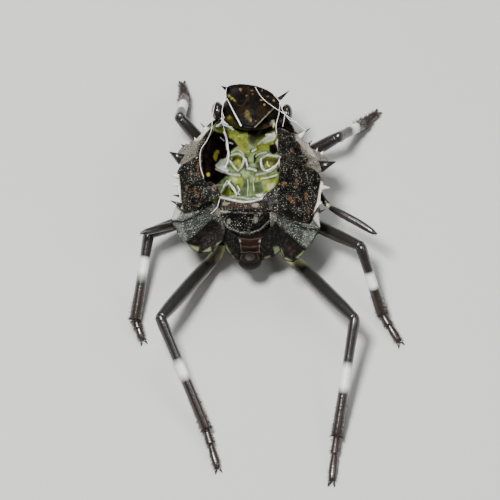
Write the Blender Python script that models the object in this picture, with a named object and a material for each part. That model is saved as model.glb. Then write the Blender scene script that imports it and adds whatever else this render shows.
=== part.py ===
"""Shed skin of a brown marmorated stink bug nymph, life size, standing on its six feet.

The skin is split along the back as it was when the insect climbed out. The head is at +Y,
the insect's right side is at +X, and the feet rest on z = 0. All sizes below are in
millimetres. Each finished mesh is scaled to metres and moved so that the origin lies
at the middle of the footprint.
"""

import math

import bmesh
import bpy
from mathutils import Matrix, Vector

# General sizes
MM = 0.001                  # metres in one millimetre
WALL = 0.5                  # thickness of every shell
GAP = 0.3                   # air kept between neighbouring pieces
LEAST = 0.1                 # least depth of a solid that thins out
CELL = 0.22                 # spacing of the points that shape a shell
FINE_CELL = 0.16            # the same for a shell with folds or steep sides
CENTRE = (0.61, -1.52)      # middle of the footprint, measured from the body's own axis

# Thorax: an open trough under two raised halves of the back
FLOOR_TOP = 1.7             # inner surface of the underside
TROUGH_FOOT = 0.85          # where the trough's side starts to rise
TROUGH_RIM = 1.55           # where it has risen to the back
TROUGH_SIDE = 1.72          # outer face of the trough
TROUGH_FRONT = 3.85
TROUGH_REAR = 0.78
KEEL_HEIGHT = 0.22
KEEL_WIDTH = 0.3
WALL_RISE = 1.9             # height of the trough's side above its floor
NECK_RISE = 0.45            # height of the neck's floor above the rest
NECK_REAR = 3.3             # where the neck's floor starts to rise
NECK_LENGTH = 0.5           # length over which it rises
# Rims of the leg sockets on the inner surface: x, y, radius
SOCKETS = [(-0.52, 2.95, 0.27), (0.74, 2.85, 0.34), (-0.78, 1.62, 0.3), (0.72, 1.5, 0.3)]

# Plates of the back: outlines seen from above
PRONOTUM_LEFT = [
    (-1.4, 3.38), (-1.65, 2.7), (-1.82, 2.12), (-2.55, 2.12), (-2.77, 2.45),
    (-2.5, 3.05), (-2.03, 3.6), (-1.67, 3.62),
]
PRONOTUM_RIGHT = [
    (1.02, 3.42), (1.1, 2.6), (1.14, 2.02), (1.9, 2.02), (2.7, 1.95), (2.76, 2.45),
    (2.28, 3.0), (1.8, 3.48),
]
MESONOTUM_LEFT = [
    (-1.79, 1.82), (-1.78, 1.27), (-1.62, 0.77), (-1.2, 0.45), (-1.6, 0.13), (-2.5, 0.08),
    (-2.72, 0.41), (-2.75, 0.96), (-2.7, 1.8),
]
MESONOTUM_RIGHT = [
    (1.14, 1.7), (1.06, 1.0), (0.62, 0.6), (0.62, -0.05), (1.25, -0.28),
    (2.22, -0.3), (2.5, 0.62), (2.72, 1.25), (2.6, 1.62), (1.9, 1.7),
]

# Abdomen, drawn in like a closed telescope
CORE_FRONT = 0.45
CORE_REAR = -0.25
CORE_HALF_WIDTH = 1.3
BELLY_LOW = 1.25
BAND = [(-1.05, 0.38), (-0.34, 0.2), (0.3, 0.3), (0.3, -0.02), (-0.34, -0.1), (-1.02, 0.0)]
GLAND_PLATE = [
    (-1.08, -0.34), (-0.2, -0.42), (0.72, -0.4), (0.6, -0.66), (0.25, -0.86),
    (-0.32, -0.88), (-0.82, -0.7),
]
FAN_LEFT = [
    (-2.75, -0.25), (-2.94, -0.36), (-2.53, -1.09), (-1.87, -1.47), (-1.41, -1.4),
    (-1.25, -1.12), (-1.5, -0.4), (-1.7, -0.25),
]
FAN_RIGHT = [
    (2.45, -0.62), (2.67, -0.64), (2.16, -1.36), (1.62, -1.79), (1.32, -1.72),
    (1.22, -1.35), (1.12, -0.65),
]
FAN_ROOT = (1.2, 0.1)       # where the pleats of a fan start, at the right side
RIDGE_ANGLE = -42.0         # direction of the fan's main fold
PLEAT_ANGLE = 54.0          # angle between one fold and the next
PLEAT_RISE = 0.08           # height of a fold at 1 mm from its root
TAIL_TOP = 2.3
TAIL_LOW = 1.6
TAIL = [
    (-0.4, -0.58), (-0.95, -0.72), (-1.05, -1.0), (-0.82, -1.36), (-0.66, -1.34),
    (-0.66, -1.0), (-0.4, -0.84), (0.4, -0.84), (0.68, -1.0), (0.66, -1.38),
    (0.86, -1.38), (1.08, -1.05), (0.98, -0.72), (0.4, -0.58),
]
TAIL_TIP = (0, -1.42, 2.0)

# Head
CROWN = [
    (0.0, 3.62), (0.45, 4.0), (0.86, 4.6), (0.9, 4.95), (0.42, 5.3), (-0.27, 5.46),
    (-0.78, 5.32), (-0.84, 4.9), (-0.78, 4.6), (-0.42, 4.0),
]
CHEEK_FRONT = 4.3           # the cheeks stand up behind this line
CROWN_SPINES = [
    ((0.7, 4.8, 2.75), (1.48, 5.25, 3.05)),
    ((-0.6, 5.15, 2.65), (-1.12, 5.5, 2.9)),
]
EYES = {"left": (-1.34, 4.38, 3.05), "right": (1.42, 4.3, 3.05)}

# Feelers and beak: x, y, z and radius at each station
ANTENNAE = {
    "right": [
        (1.3, 4.55, 2.0, 0.25), (1.95, 3.6, 2.15, 0.25), (2.3, 2.5, 2.0, 0.25),
        (2.62, 1.5, 2.05, 0.25), (3.02, 0.66, 2.42, 0.25), (3.9, 0.0, 2.7, 0.25),
        (4.78, -0.62, 2.75, 0.08),
    ],
    "left": [
        (-1.2, 4.55, 2.0, 0.25), (-1.95, 3.6, 2.15, 0.25), (-2.3, 2.5, 1.95, 0.25),
        (-2.35, 1.5, 1.9, 0.25), (-2.4, 0.75, 1.95, 0.25), (-2.83, 0.1, 2.15, 0.25),
        (-3.4, -0.25, 2.5, 0.25), (-4.12, -0.62, 2.85, 0.08),
    ],
}
BEAK = [(0.0, 4.9, 1.5, 0.25), (0.0, 4.2, 1.1, 0.25), (0, 3.2, 0.55, 0.25), (0, 1.9, 0.5, 0.15)]

# Legs: the hip under the trough, a bend of the thigh, then knee, ankle and toe
LEGS = {
    "fore_left": [(-0.85, 2.98), (-1.4, 3.6, 0.75), (-2.66, 4.62, 1.95), (-2.5, 6.2, 0.42),
                  (-2.58, 6.85)],
    "fore_right": [(0.95, 2.85), (1.6, 3.3, 0.75), (3.3, 3.8, 1.95), (4.3, 5.1, 0.42),
                   (4.8, 5.65)],
    "middle_left": [(-0.9, 1.6), (-1.6, 1.25, 0.8), (-3.84, -0.22, 1.9), (-4.35, -3.1, 0.42),
                    (-4.1, -3.72)],
    "middle_right": [(0.9, 1.5), (1.6, 1.15, 0.8), (4.2, -0.88, 2.2), (5.0, -2.85, 0.42),
                     (5.6, -3.85)],
    "hind_left": [(-0.9, 0.3), (-1.3, -0.6, 0.75), (-3.38, -3.9, 2.3), (-1.65, -7.65, 0.42),
                  (-1.25, -9.1)],
    "hind_right": [(0.9, 0.3), (1.5, -0.6, 0.75), (3.95, -3.95, 2.3), (3.27, -7.95, 0.42),
                   (3.1, -9.6)],
}
THIGH = 0.28                # radius of a thigh at its middle
SHIN = 0.24                 # radius of a shin
FOOT = 0.22                 # radius of a foot at the ankle
TOE = 0.18                  # radius of a foot at the toe
TOE_HEIGHT = 0.15           # height of a toe's middle line
CLAW_LENGTH = 0.3
CLAW_SPREAD = 0.14
COXA_TOP = FLOOR_TOP - WALL - GAP   # where the hips start
SOLE = 0.0                  # level of the floor under the feet


def clear_scene():
    for obj in list(bpy.data.objects):
        bpy.data.objects.remove(obj, do_unlink=True)


def collection(name, hidden=False):
    made = bpy.data.collections.new(name)
    bpy.context.scene.collection.children.link(made)
    made.hide_render = hidden
    return made


def material(name, colour, roughness, metallic=0.0):
    made = bpy.data.materials.new(name)
    made.use_nodes = True
    shader = made.node_tree.nodes["Principled BSDF"]
    shader.inputs["Base Color"].default_value = (*colour, 1.0)
    shader.inputs["Roughness"].default_value = roughness
    shader.inputs["Metallic"].default_value = metallic
    made.diffuse_color = (*colour, 1.0)
    return made


def link_mesh(name, bm, home):
    """Turn a bmesh into an object in the collection home."""
    mesh = bpy.data.meshes.new(name)
    bmesh.ops.recalc_face_normals(bm, faces=bm.faces)
    bm.to_mesh(mesh)
    bm.free()
    obj = bpy.data.objects.new(name, mesh)
    home.objects.link(obj)
    return obj


def rounded(points, steps=3):
    """A closed smooth outline through a few points, by Catmull-Rom curves."""
    count = len(points)
    ring = []
    for i in range(count):
        a, b, c, d = (Vector(points[(i + k) % count]) for k in (-1, 0, 1, 2))
        for s in range(steps):
            t = s / steps
            ring.append(
                0.5 * (2 * b + (c - a) * t + (2 * a - 5 * b + 4 * c - d) * t**2
                       + (3 * b - a - 3 * c + d) * t**3)
            )
    return [tuple(p) for p in ring]


def grown(outline, distance):
    """The outline moved outward by a distance, each point along its own normal."""
    count = len(outline)
    area = sum(
        outline[i - 1][0] * outline[i][1] - outline[i][0] * outline[i - 1][1]
        for i in range(count)
    )
    turn = math.copysign(1.0, area)
    moved = []
    for i in range(count):
        before, here, after = (Vector(outline[(i + k) % count]) for k in (-1, 0, 1))
        along = (here - before).normalized() + (after - here).normalized()
        normal = Vector((along.y, -along.x)).normalized() * turn
        moved.append(tuple(here + normal * distance))
    return moved


def sunk(surface, depth):
    """A surface moved down so that its distance from the first is depth, along the normal."""
    step = 0.04

    def lower(x, y):
        slope_x = (surface(x + step, y) - surface(x - step, y)) / (2 * step)
        slope_y = (surface(x, y + step) - surface(x, y - step)) / (2 * step)
        stretch = min(math.sqrt(1 + slope_x**2 + slope_y**2), 1.5)
        return surface(x, y) - depth * stretch

    return lower


def smooth_step(value):
    t = min(max(value, 0.0), 1.0)
    return t * t * (3 - 2 * t)


def boolean(obj, other, operation):
    """Apply one Boolean between obj and an object or a collection, and return obj."""
    cut = obj.modifiers.new("cut", "BOOLEAN")
    cut.operation = operation
    cut.solver = "EXACT"
    if isinstance(other, bpy.types.Collection):
        cut.operand_type = "COLLECTION"
        cut.collection = other
    else:
        cut.object = other
    bpy.context.view_layer.update()
    seen = obj.evaluated_get(bpy.context.evaluated_depsgraph_get())
    done = bpy.data.meshes.new_from_object(seen)
    old = obj.data
    obj.modifiers.clear()
    obj.data = done
    bpy.data.meshes.remove(old)
    return obj


def keep_largest(obj):
    """Drop every closed surface of a mesh but the one with the most volume."""
    bm = bmesh.new()
    bm.from_mesh(obj.data)
    left = set(bm.faces)
    islands = []
    while left:
        queue = [left.pop()]
        island = list(queue)
        while queue:
            face = queue.pop()
            for edge in face.edges:
                for near in edge.link_faces:
                    if near in left:
                        left.remove(near)
                        queue.append(near)
                        island.append(near)
        islands.append(island)
    largest = max(islands, key=island_volume)
    extra = [face for island in islands if island is not largest for face in island]
    if extra:
        bmesh.ops.delete(bm, geom=extra, context="FACES")
    bm.to_mesh(obj.data)
    bm.free()


def island_volume(faces):
    total = 0.0
    for face in faces:
        first = face.verts[0].co
        for a, b in zip(face.verts[1:-1], face.verts[2:]):
            total += first.dot(a.co.cross(b.co)) / 6
    return abs(total)


def slab(name, outline, top, bottom, home, cell=CELL):
    """A solid between two surfaces, trimmed to an outline seen from above."""
    xs = [p[0] for p in outline]
    ys = [p[1] for p in outline]
    margin = 0.1
    width = max(xs) - min(xs) + 2 * margin
    length = max(ys) - min(ys) + 2 * margin
    middle = Vector(((max(xs) + min(xs)) / 2, (max(ys) + min(ys)) / 2, 0))
    bm = bmesh.new()
    bmesh.ops.create_grid(
        bm,
        x_segments=max(2, round(width / cell)),
        y_segments=max(2, round(length / cell)),
        size=0.5,
        matrix=Matrix.Translation(middle) @ Matrix.Diagonal((width, length, 1, 1)),
    )
    upper = list(bm.verts)
    made = bmesh.ops.extrude_face_region(bm, geom=bm.faces[:])
    lower = [v for v in made["geom"] if isinstance(v, bmesh.types.BMVert)]
    for vert in upper:
        vert.co.z = top(vert.co.x, vert.co.y)
    for vert in lower:
        x, y = vert.co.xy
        vert.co.z = min(bottom(x, y), top(x, y) - LEAST)
    bmesh.ops.triangulate(bm, faces=bm.faces)
    obj = link_mesh(name, bm, home)
    trim = prism(outline, -5, 10)
    boolean(obj, trim, "INTERSECT")
    bpy.data.objects.remove(trim)
    return obj


def prism(outline, low, high):
    """An upright cutter with the given outline."""
    bm = bmesh.new()
    base = bm.faces.new([bm.verts.new((x, y, low)) for x, y in outline])
    made = bmesh.ops.extrude_face_region(bm, geom=[base])
    raised = [v for v in made["geom"] if isinstance(v, bmesh.types.BMVert)]
    bmesh.ops.translate(bm, verts=raised, vec=(0, 0, high - low))
    cutter = link_mesh("trim", bm, CUTTERS)
    cutter.hide_render = True
    cutter.display_type = "WIRE"
    return cutter


def shell(name, outline, top, home, wall=WALL, cell=CELL):
    return slab(name, outline, top, sunk(top, wall), home, cell)


def tube(name, points, radii, home, sides=2, closed=False):
    """A limb: a round bar along points, with its own radius at each point."""
    curve = bpy.data.curves.new(name, "CURVE")
    curve.dimensions = "3D"
    curve.bevel_depth = 1.0
    curve.bevel_resolution = sides
    curve.use_fill_caps = True
    line = curve.splines.new("POLY")
    line.points.add(len(points) - 1)
    line.use_cyclic_u = closed
    for point, place, radius in zip(line.points, points, radii):
        point.co = (*place, 1.0)
        point.radius = radius
    guide = bpy.data.objects.new(name, curve)
    home.objects.link(guide)
    bpy.context.view_layer.update()
    seen = guide.evaluated_get(bpy.context.evaluated_depsgraph_get())
    mesh = bpy.data.meshes.new_from_object(seen)
    bpy.data.objects.remove(guide)
    bpy.data.curves.remove(curve)
    bm = bmesh.new()
    bm.from_mesh(mesh)
    bpy.data.meshes.remove(mesh)
    bmesh.ops.remove_doubles(bm, verts=bm.verts, dist=0.0005)
    return link_mesh(name, bm, home)


def along(stations, steps=3):
    """Points and radii on a smooth open curve through stations of (x, y, z, radius)."""
    ends = [stations[0], *stations, stations[-1]]
    places = []
    for i in range(1, len(ends) - 2):
        a, b, c, d = (Vector(ends[i + k]) for k in (-1, 0, 1, 2))
        for s in range(steps):
            t = s / steps
            places.append(
                0.5 * (2 * b + (c - a) * t + (2 * a - 5 * b + 4 * c - d) * t**2
                       + (3 * b - a - 3 * c + d) * t**3)
            )
    places.append(Vector(stations[-1]))
    return [tuple(p[:3]) for p in places], [p[3] for p in places]


def spine(root, tip, radius, home, sides=6):
    """A pointed cone whose root is sunk in the shell that carries it."""
    line = Vector(tip) - Vector(root)
    bm = bmesh.new()
    bmesh.ops.create_cone(
        bm, cap_ends=True, segments=sides, radius1=radius, radius2=0.02, depth=line.length
    )
    turn = line.to_track_quat("Z", "Y").to_matrix().to_4x4()
    middle = (Vector(root) + Vector(tip)) / 2
    bmesh.ops.transform(bm, matrix=Matrix.Translation(middle) @ turn, verts=bm.verts)
    return link_mesh("spine", bm, home)


def ball(name, centre, radii, home, rings=10):
    bm = bmesh.new()
    bmesh.ops.create_uvsphere(bm, u_segments=2 * rings, v_segments=rings, radius=1.0)
    shape = Matrix.Translation(centre) @ Matrix.Diagonal((*radii, 1))
    bmesh.ops.transform(bm, matrix=shape, verts=bm.verts)
    return link_mesh(name, bm, home)


def fuse(obj, pieces):
    """Join pieces to obj by one union and remove them."""
    if not pieces:
        return obj
    group = bpy.data.collections.new("joined")
    for piece in pieces:
        group.objects.link(piece)
    boolean(obj, group, "UNION")
    for piece in pieces:
        bpy.data.objects.remove(piece)
    bpy.data.collections.remove(group)
    return obj


def finish(obj, finish_material):
    """Scale a piece from millimetres to metres, centre it and shade it."""
    keep_largest(obj)
    place = Matrix.Scale(MM, 4) @ Matrix.Translation((-CENTRE[0], -CENTRE[1], 0))
    obj.data.transform(place)
    obj.data.materials.clear()
    obj.data.materials.append(finish_material)
    obj.data.shade_smooth()
    obj.data.set_sharp_from_angle(angle=math.radians(35))
    return obj


clear_scene()
BUG = collection("stink_bug_skin")
CUTTERS = collection("cutters", hidden=True)

BLACK = material("black_cuticle", (0.030, 0.028, 0.025), 0.45)
GREY = material("grey_dusted_cuticle", (0.16, 0.17, 0.16), 0.6)
LEG = material("glossy_leg_cuticle", (0.035, 0.028, 0.022), 0.3)
MEMBRANE = material("yellow_green_membrane", (0.42, 0.44, 0.20), 0.4)
BROWN = material("brown_cuticle", (0.09, 0.045, 0.03), 0.45)
EYE = material("dark_eye_shell", (0.02, 0.018, 0.018), 0.15)


# Surfaces of the back, as heights above the floor

def prothorax_left(x, y):
    return 4.2 - 0.85 * max(0, abs(x) - 1.7) - 0.4 * max(0, y - 2.0)


def prothorax_right(x, y):
    return 4.15 - 0.55 * (abs(x) - 1.1) - 0.4 * max(0, y - 2.0)


def mesothorax_left(x, y):
    return 4.35 - 0.9 * max(0, abs(x) - 1.75) - 0.45 * max(0, 0.9 - y)


def mesothorax_right(x, y):
    return 4.2 - 0.6 * max(0, abs(x) - 1.1) - 0.35 * max(0, 0.6 - y)


def back_centre(x, y):
    rearward = max(0, -y - 0.1)
    return 3.95 - 0.12 * x * x - 0.7 * rearward - 0.25 * rearward**2


def head_top(x, y):
    dome = max(0, 1 - (x / 1.1)**2 - ((y - 4.6) / 1.2)**2)
    return 3.68 - 0.36 * (y - 3.45) + 0.3 * dome - 0.12 * x * x


def back(x, y):
    """The lowest surface of the back over a point."""
    front = prothorax_left(x, y) if x < 0 else prothorax_right(x, y)
    middle = mesothorax_left(x, y) if x < 0 else mesothorax_right(x, y)
    return min(front, middle)


def make_thorax_floor():
    roof = sunk(back, WALL + GAP)

    def rise(distance):
        return WALL_RISE * smooth_step(distance / (TROUGH_RIM - TROUGH_FOOT))

    def inner(x, y):
        neck = NECK_RISE * smooth_step((y - NECK_REAR) / NECK_LENGTH)
        return min(FLOOR_TOP + neck + rise(abs(x) - TROUGH_FOOT), roof(x, y))

    def outer(x, y):
        neck = NECK_RISE * smooth_step((y - NECK_REAR) / NECK_LENGTH)
        return min(FLOOR_TOP - WALL + neck + rise(abs(x) - TROUGH_FOOT - WALL), roof(x, y) - WALL)

    side = TROUGH_SIDE
    outline = rounded([
        (side, TROUGH_REAR), (side, 1.8), (side, 2.8), (1.2, TROUGH_FRONT - 0.35),
        (0.6, TROUGH_FRONT), (-0.6, TROUGH_FRONT), (-1.2, TROUGH_FRONT - 0.35),
        (-side, 2.8), (-side, 1.8), (-side, TROUGH_REAR), (0, TROUGH_REAR),
    ], 2)
    floor = slab("thorax_floor", outline, inner, outer, BUG, cell=FINE_CELL)
    ridge_z = FLOOR_TOP + KEEL_HEIGHT - KEEL_WIDTH / 2
    keel = tube("keel", [(0.03, 1.0, ridge_z), (0.02, 2.3, ridge_z), (0, 3.5, ridge_z)],
                [KEEL_WIDTH / 2] * 3, BUG)
    bar = tube("bar", [(-0.9, 2.05, ridge_z), (0.9, 2.05, ridge_z)], [KEEL_WIDTH / 2] * 2, BUG)
    rims = [socket_rim(x, y, size) for x, y, size in SOCKETS]
    fuse(floor, [keel, bar, *rims])
    return finish(floor, MEMBRANE)


def socket_rim(x, y, radius):
    """A raised ring round the hole that a leg was drawn out of."""
    turns = 14
    angles = [2 * math.pi * i / turns for i in range(turns)]
    height = FLOOR_TOP + 0.08
    path = [(x + radius * math.cos(a), y + radius * math.sin(a), height) for a in angles]
    return tube("rim", path, [0.12] * turns, BUG, sides=1, closed=True)


def make_back_plate(name, outline, surface, thorns, finish_material):
    """One plate of the split back, with the thorns along its outer edge."""
    plate = shell(name, outline, surface, BUG)
    fuse(plate, [spine(root, tip, radius, BUG) for root, tip, radius in thorns])
    return finish(plate, finish_material)


def thorn(surface, x, y, dx, dy, dz=0.0, radius=0.2):
    """A thorn on the edge at (x, y): its root sunk inward, its tip at an offset."""
    z = surface(x, y) - WALL * 0.5
    inward = -0.25 if x > 0 else 0.25
    return (x + inward, y, z), (x + dx, y + dy, z + dz), radius


def make_back():
    left = prothorax_left
    make_back_plate("pronotum_left", PRONOTUM_LEFT, left, [
        thorn(left, -2.0, 3.6, -0.15, 0.32, 0.1),
        thorn(left, -2.5, 2.95, -0.32, 0.1),
        thorn(left, -2.62, 2.4, -0.48, 0.12, 0.0, 0.24),
    ], BLACK)
    right = prothorax_right
    make_back_plate("pronotum_right", PRONOTUM_RIGHT, right, [
        thorn(right, 1.85, 3.25, 0.35, 0.3, 0.1),
        thorn(right, 2.3, 2.85, 0.25, 0.25),
        thorn(right, 2.66, 2.3, 0.55, 0.02, 0.0, 0.24),
    ], BLACK)
    left = mesothorax_left
    make_back_plate("mesonotum_left", MESONOTUM_LEFT, left, [
        thorn(left, -2.62, 1.45, -0.32, 0.2),
        thorn(left, -2.64, 1.0, -0.25, 0.08),
        thorn(left, -2.6, 0.62, -0.28, 0.05),
        thorn(left, -2.54, 0.3, -0.42, 0.02),
    ], BLACK)
    right = mesothorax_right
    make_back_plate("mesonotum_right", MESONOTUM_RIGHT, right, [
        thorn(right, 2.66, 1.15, 0.4, 0.0),
        thorn(right, 2.52, 0.6, 0.2, -0.05),
        thorn(right, 2.42, 0.25, 0.25, 0.0),
    ], BLACK)


def fan(x, y):
    """Pleated side of the abdomen, spread like a fan."""
    rearward = max(0, -0.37 - y)
    across = abs(x) - FAN_ROOT[0]
    back_from_root = y - FAN_ROOT[1]
    reach = math.hypot(across, back_from_root)
    angle = math.degrees(math.atan2(back_from_root, across))
    fold = math.cos(2 * math.pi * (angle - RIDGE_ANGLE) / PLEAT_ANGLE)
    return 3.6 - 0.22 * (abs(x) - 1.5) - 0.6 * rearward + PLEAT_RISE * reach * fold


def make_abdomen():
    def belly(x, y):
        return BELLY_LOW + 0.35 * (x / CORE_HALF_WIDTH)**2 + 0.25 * max(0, 0.2 - y)

    half = CORE_HALF_WIDTH
    outline = [
        (half, CORE_FRONT), (half, 0), (half - 0.3, CORE_REAR),
        (0.3 - half, CORE_REAR), (-half, 0), (-half, CORE_FRONT),
    ]
    core = slab("abdomen_underside", outline, sunk(back_centre, WALL + GAP), belly, BUG)
    finish(core, BROWN)
    finish(shell("metanotum_band", BAND, back_centre, BUG), BLACK)
    finish(shell("gland_plate", GLAND_PLATE, back_centre, BUG), BLACK)
    finish(shell("abdomen_fan_left", FAN_LEFT, fan, BUG, cell=FINE_CELL), GREY)
    finish(shell("abdomen_fan_right", FAN_RIGHT, fan, BUG, cell=FINE_CELL), GREY)

    def tail_top(x, y):
        return TAIL_TOP - 0.15 * x * x

    def tail_low(x, y):
        return TAIL_LOW + 0.1 * x * x

    finish(slab("tail_plates", TAIL, tail_top, tail_low, BUG), BROWN)
    finish(ball("anal_end", TAIL_TIP, (0.42, 0.35, 0.42), BUG), BROWN)


def make_head():
    crown_outline = rounded(CROWN, 2)
    crown = shell("head_crown", crown_outline, head_top, BUG)
    fuse(crown, [spine(root, tip, 0.18, BUG) for root, tip in CROWN_SPINES])
    finish(crown, BLACK)
    outline = rounded([
        (0.0, 4.15), (0.7, 3.98), (0.98, 4.1), (0.8, 4.75), (0.5, 5.1), (0, 5.25),
        (-0.5, 5.1), (-0.75, 4.75), (-0.92, 4.1), (-0.7, 3.98),
    ], 2)

    bowl = sunk(head_top, WALL + GAP)

    def cheeks(x, y):
        raised = smooth_step((CHEEK_FRONT - y) / 0.15)
        return bowl(x, y) + (head_top(x, y) - 0.15 - bowl(x, y)) * raised

    def throat(x, y):
        return 2.1 + 0.25 * (x / 0.9)**2

    capsule = slab("head_capsule", outline, cheeks, throat, BUG, cell=FINE_CELL)
    room = slab("room", grown(crown_outline, GAP), lambda x, y: 8.0, bowl, CUTTERS)
    boolean(capsule, room, "DIFFERENCE")
    bpy.data.objects.remove(room)
    finish(capsule, BLACK)
    for label, place in EYES.items():
        finish(ball("eye_" + label, place, (0.28, 0.36, 0.34), BUG, 7), EYE)
    for label, stations in ANTENNAE.items():
        finish(tube("antenna_" + label, *along(stations), BUG), LEG)
    finish(tube("beak", *along(BEAK), BUG), LEG)


def mitred(limb, corner, before, after, keep_before):
    """Cut a bar at its corner, on the plane half way between the two bars that meet there."""
    into = (corner - before).normalized()
    out = (after - corner).normalized()
    facing = (into + out).normalized()
    if keep_before:
        cut_plane(limb, corner - facing * GAP / 2, facing)
    else:
        cut_plane(limb, corner + facing * GAP / 2, -facing)


def beyond(corner, other):
    """A point past the corner on the line from other, so that a mitre cuts the whole bar."""
    return corner + (corner - other).normalized() * 0.35


def cut_plane(limb, point, facing):
    """Cut away what lies past a plane and close the cut with one face."""
    bm = bmesh.new()
    bm.from_mesh(limb.data)
    cut = bmesh.ops.bisect_plane(
        bm, geom=bm.verts[:] + bm.edges[:] + bm.faces[:], plane_co=point,
        plane_no=facing, clear_outer=True,
    )
    rim = [edge for edge in cut["geom_cut"] if isinstance(edge, bmesh.types.BMEdge)]
    bmesh.ops.edgenet_fill(bm, edges=rim)
    bmesh.ops.recalc_face_normals(bm, faces=bm.faces)
    bm.to_mesh(limb.data)
    bm.free()


def claws(toe, ahead):
    """Two small hooked points at the end of a foot."""
    across = Vector((-ahead.y, ahead.x, 0)).normalized()
    pair = []
    for side in (-1, 1):
        root = toe - ahead * 0.12 + across * side * 0.05
        tip = toe + ahead * CLAW_LENGTH + across * side * CLAW_SPREAD
        tip.z = 0.06
        pair.append(spine(root, tip, 0.09, BUG, sides=5))
    return pair


def make_leg(label, places):
    hip = Vector((*places[0], COXA_TOP - SHIN))
    thigh, knee, ankle = (Vector(place) for place in places[1:4])
    toe = Vector((*places[4], TOE_HEIGHT))
    femur = [
        (*hip, SHIN), (*thigh, THIGH), (*thigh.lerp(knee, 0.5), THIGH),
        (*thigh.lerp(knee, 0.95), SHIN), (*beyond(knee, thigh), SHIN),
    ]
    tibia = [
        (*beyond(knee, ankle), SHIN), (*knee.lerp(ankle, 0.1), SHIN),
        (*knee.lerp(ankle, 0.9), SHIN), (*beyond(ankle, knee), SHIN),
    ]
    tarsus = [(*beyond(ankle, toe), FOOT), (*ankle.lerp(toe, 0.3), FOOT), (*toe, TOE)]
    upper = tube(label + "_femur", *along(femur), BUG)
    mitred(upper, knee, thigh, ankle, keep_before=True)
    finish(upper, LEG)
    shin = tube(label + "_tibia", *along(tibia, 2), BUG)
    mitred(shin, knee, thigh, ankle, keep_before=False)
    mitred(shin, ankle, knee, toe, keep_before=True)
    finish(shin, LEG)
    foot = tube(label + "_tarsus", *along(tarsus, 2), BUG)
    mitred(foot, ankle, knee, toe, keep_before=False)
    fuse(foot, claws(toe, (toe - ankle).normalized()))
    cut_plane(foot, Vector((0, 0, SOLE)), Vector((0, 0, -1)))
    finish(foot, LEG)


make_thorax_floor()
make_back()
make_abdomen()
make_head()
for leg_label, leg_places in LEGS.items():
    make_leg(leg_label, leg_places)
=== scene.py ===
import math
import random

import bmesh
import bpy
from bpy.props import FloatProperty, FloatVectorProperty, IntProperty, PointerProperty
from mathutils import Matrix, Vector, noise


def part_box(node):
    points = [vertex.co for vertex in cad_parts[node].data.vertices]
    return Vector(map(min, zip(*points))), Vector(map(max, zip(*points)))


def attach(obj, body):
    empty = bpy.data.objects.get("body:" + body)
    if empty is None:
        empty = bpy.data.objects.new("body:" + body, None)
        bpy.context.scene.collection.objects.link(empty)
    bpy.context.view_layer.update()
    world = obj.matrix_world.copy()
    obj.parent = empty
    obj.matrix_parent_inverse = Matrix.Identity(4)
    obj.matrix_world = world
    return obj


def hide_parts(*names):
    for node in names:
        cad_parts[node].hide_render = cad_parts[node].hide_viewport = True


bl_info = {
    "name": "Shed skin of a stink bug nymph",
    "version": (1, 0, 0),
    "blender": (4, 5, 0),
    "location": "3D View > Sidebar > Shed skin",
    "description": "Dresses the solids of a nymph's shed skin with cuticle, membrane and bristles",
    "category": "Add Mesh",
}

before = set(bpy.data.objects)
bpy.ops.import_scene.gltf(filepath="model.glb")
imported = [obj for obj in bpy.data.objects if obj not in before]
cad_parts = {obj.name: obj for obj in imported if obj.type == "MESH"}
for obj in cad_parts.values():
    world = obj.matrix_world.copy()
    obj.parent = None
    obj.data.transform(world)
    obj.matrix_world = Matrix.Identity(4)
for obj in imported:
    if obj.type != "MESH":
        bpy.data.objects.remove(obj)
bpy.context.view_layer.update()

# The body's own frame is in millimetres, with its axis at x = 0. It sits in the CAD frame
# so that the thorax floor's box gives its place.
MM = 0.001
FLOOR_LOW, FLOOR_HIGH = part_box("thorax_floor")
AXIS_X = (FLOOR_LOW.x + FLOOR_HIGH.x) / 2
TROUGH_REAR = 0.78          # y of the thorax floor's rear edge in the body's own frame
AXIS_Y = FLOOR_LOW.y - TROUGH_REAR * MM
WALL = 0.07                 # thickness of the drawn cuticle
FINE = 0.03                 # spacing of the points on a plate
MERGE = 0.002               # points nearer than this are one
CLEAR = 0.1                 # how far the inside of the thorax stays below the plates
HULL_CLEAR = 0.12           # how far the hull of the thorax stays below what lies in it

# The photograph: scale, viewing angle and middle
PIXEL = 0.038               # millimetres seen by one pixel
ELEVATION = math.radians(65)
MIDDLE = 250                # pixel column and row on the camera's axis
FRAME_WIDTH = 2 * MIDDLE * PIXEL
CAMERA_DISTANCE = 600.0
SENSOR = 36.0               # width of the camera's sensor


def metres(point):
    """A point of the body's own frame, in the CAD frame."""
    return Vector((AXIS_X + point[0] * MM, AXIS_Y + point[1] * MM, point[2] * MM))


def pixel_of(x, y, z):
    """Where the photograph shows a point of the body's own frame."""
    column = MIDDLE + x / PIXEL
    row = MIDDLE - (y * math.sin(ELEVATION) + z * math.cos(ELEVATION)) / PIXEL
    return column, row


def at_height(column, row, z):
    """The point at height z that the photograph shows at a pixel."""
    x = (column - MIDDLE) * PIXEL
    y = ((MIDDLE - row) * PIXEL - z * math.cos(ELEVATION)) / math.sin(ELEVATION)
    return Vector((x, y, z))


def on_surface(column, row, surface):
    """The point of a surface that the photograph shows at a pixel."""
    point = at_height(column, row, 3.0)
    for _ in range(40):
        seen = at_height(column, row, surface(point.x, point.y))
        point = point.lerp(seen, 0.5)
    return point


def smooth_step(value):
    """0 up to the value 0, 1 from the value 1 on, and a soft rise between them."""
    t = min(max(value, 0.0), 1.0)
    return t * t * (3 - 2 * t)


def ruffle(x, y, size, seed=0.0):
    """Smooth irregular height between about -1 and 1, with lumps of a given size."""
    return noise.noise(Vector((x / size, y / size, seed)))


# Heights of the surfaces in millimetres. Those of the back are the same as in the solids.

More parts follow.
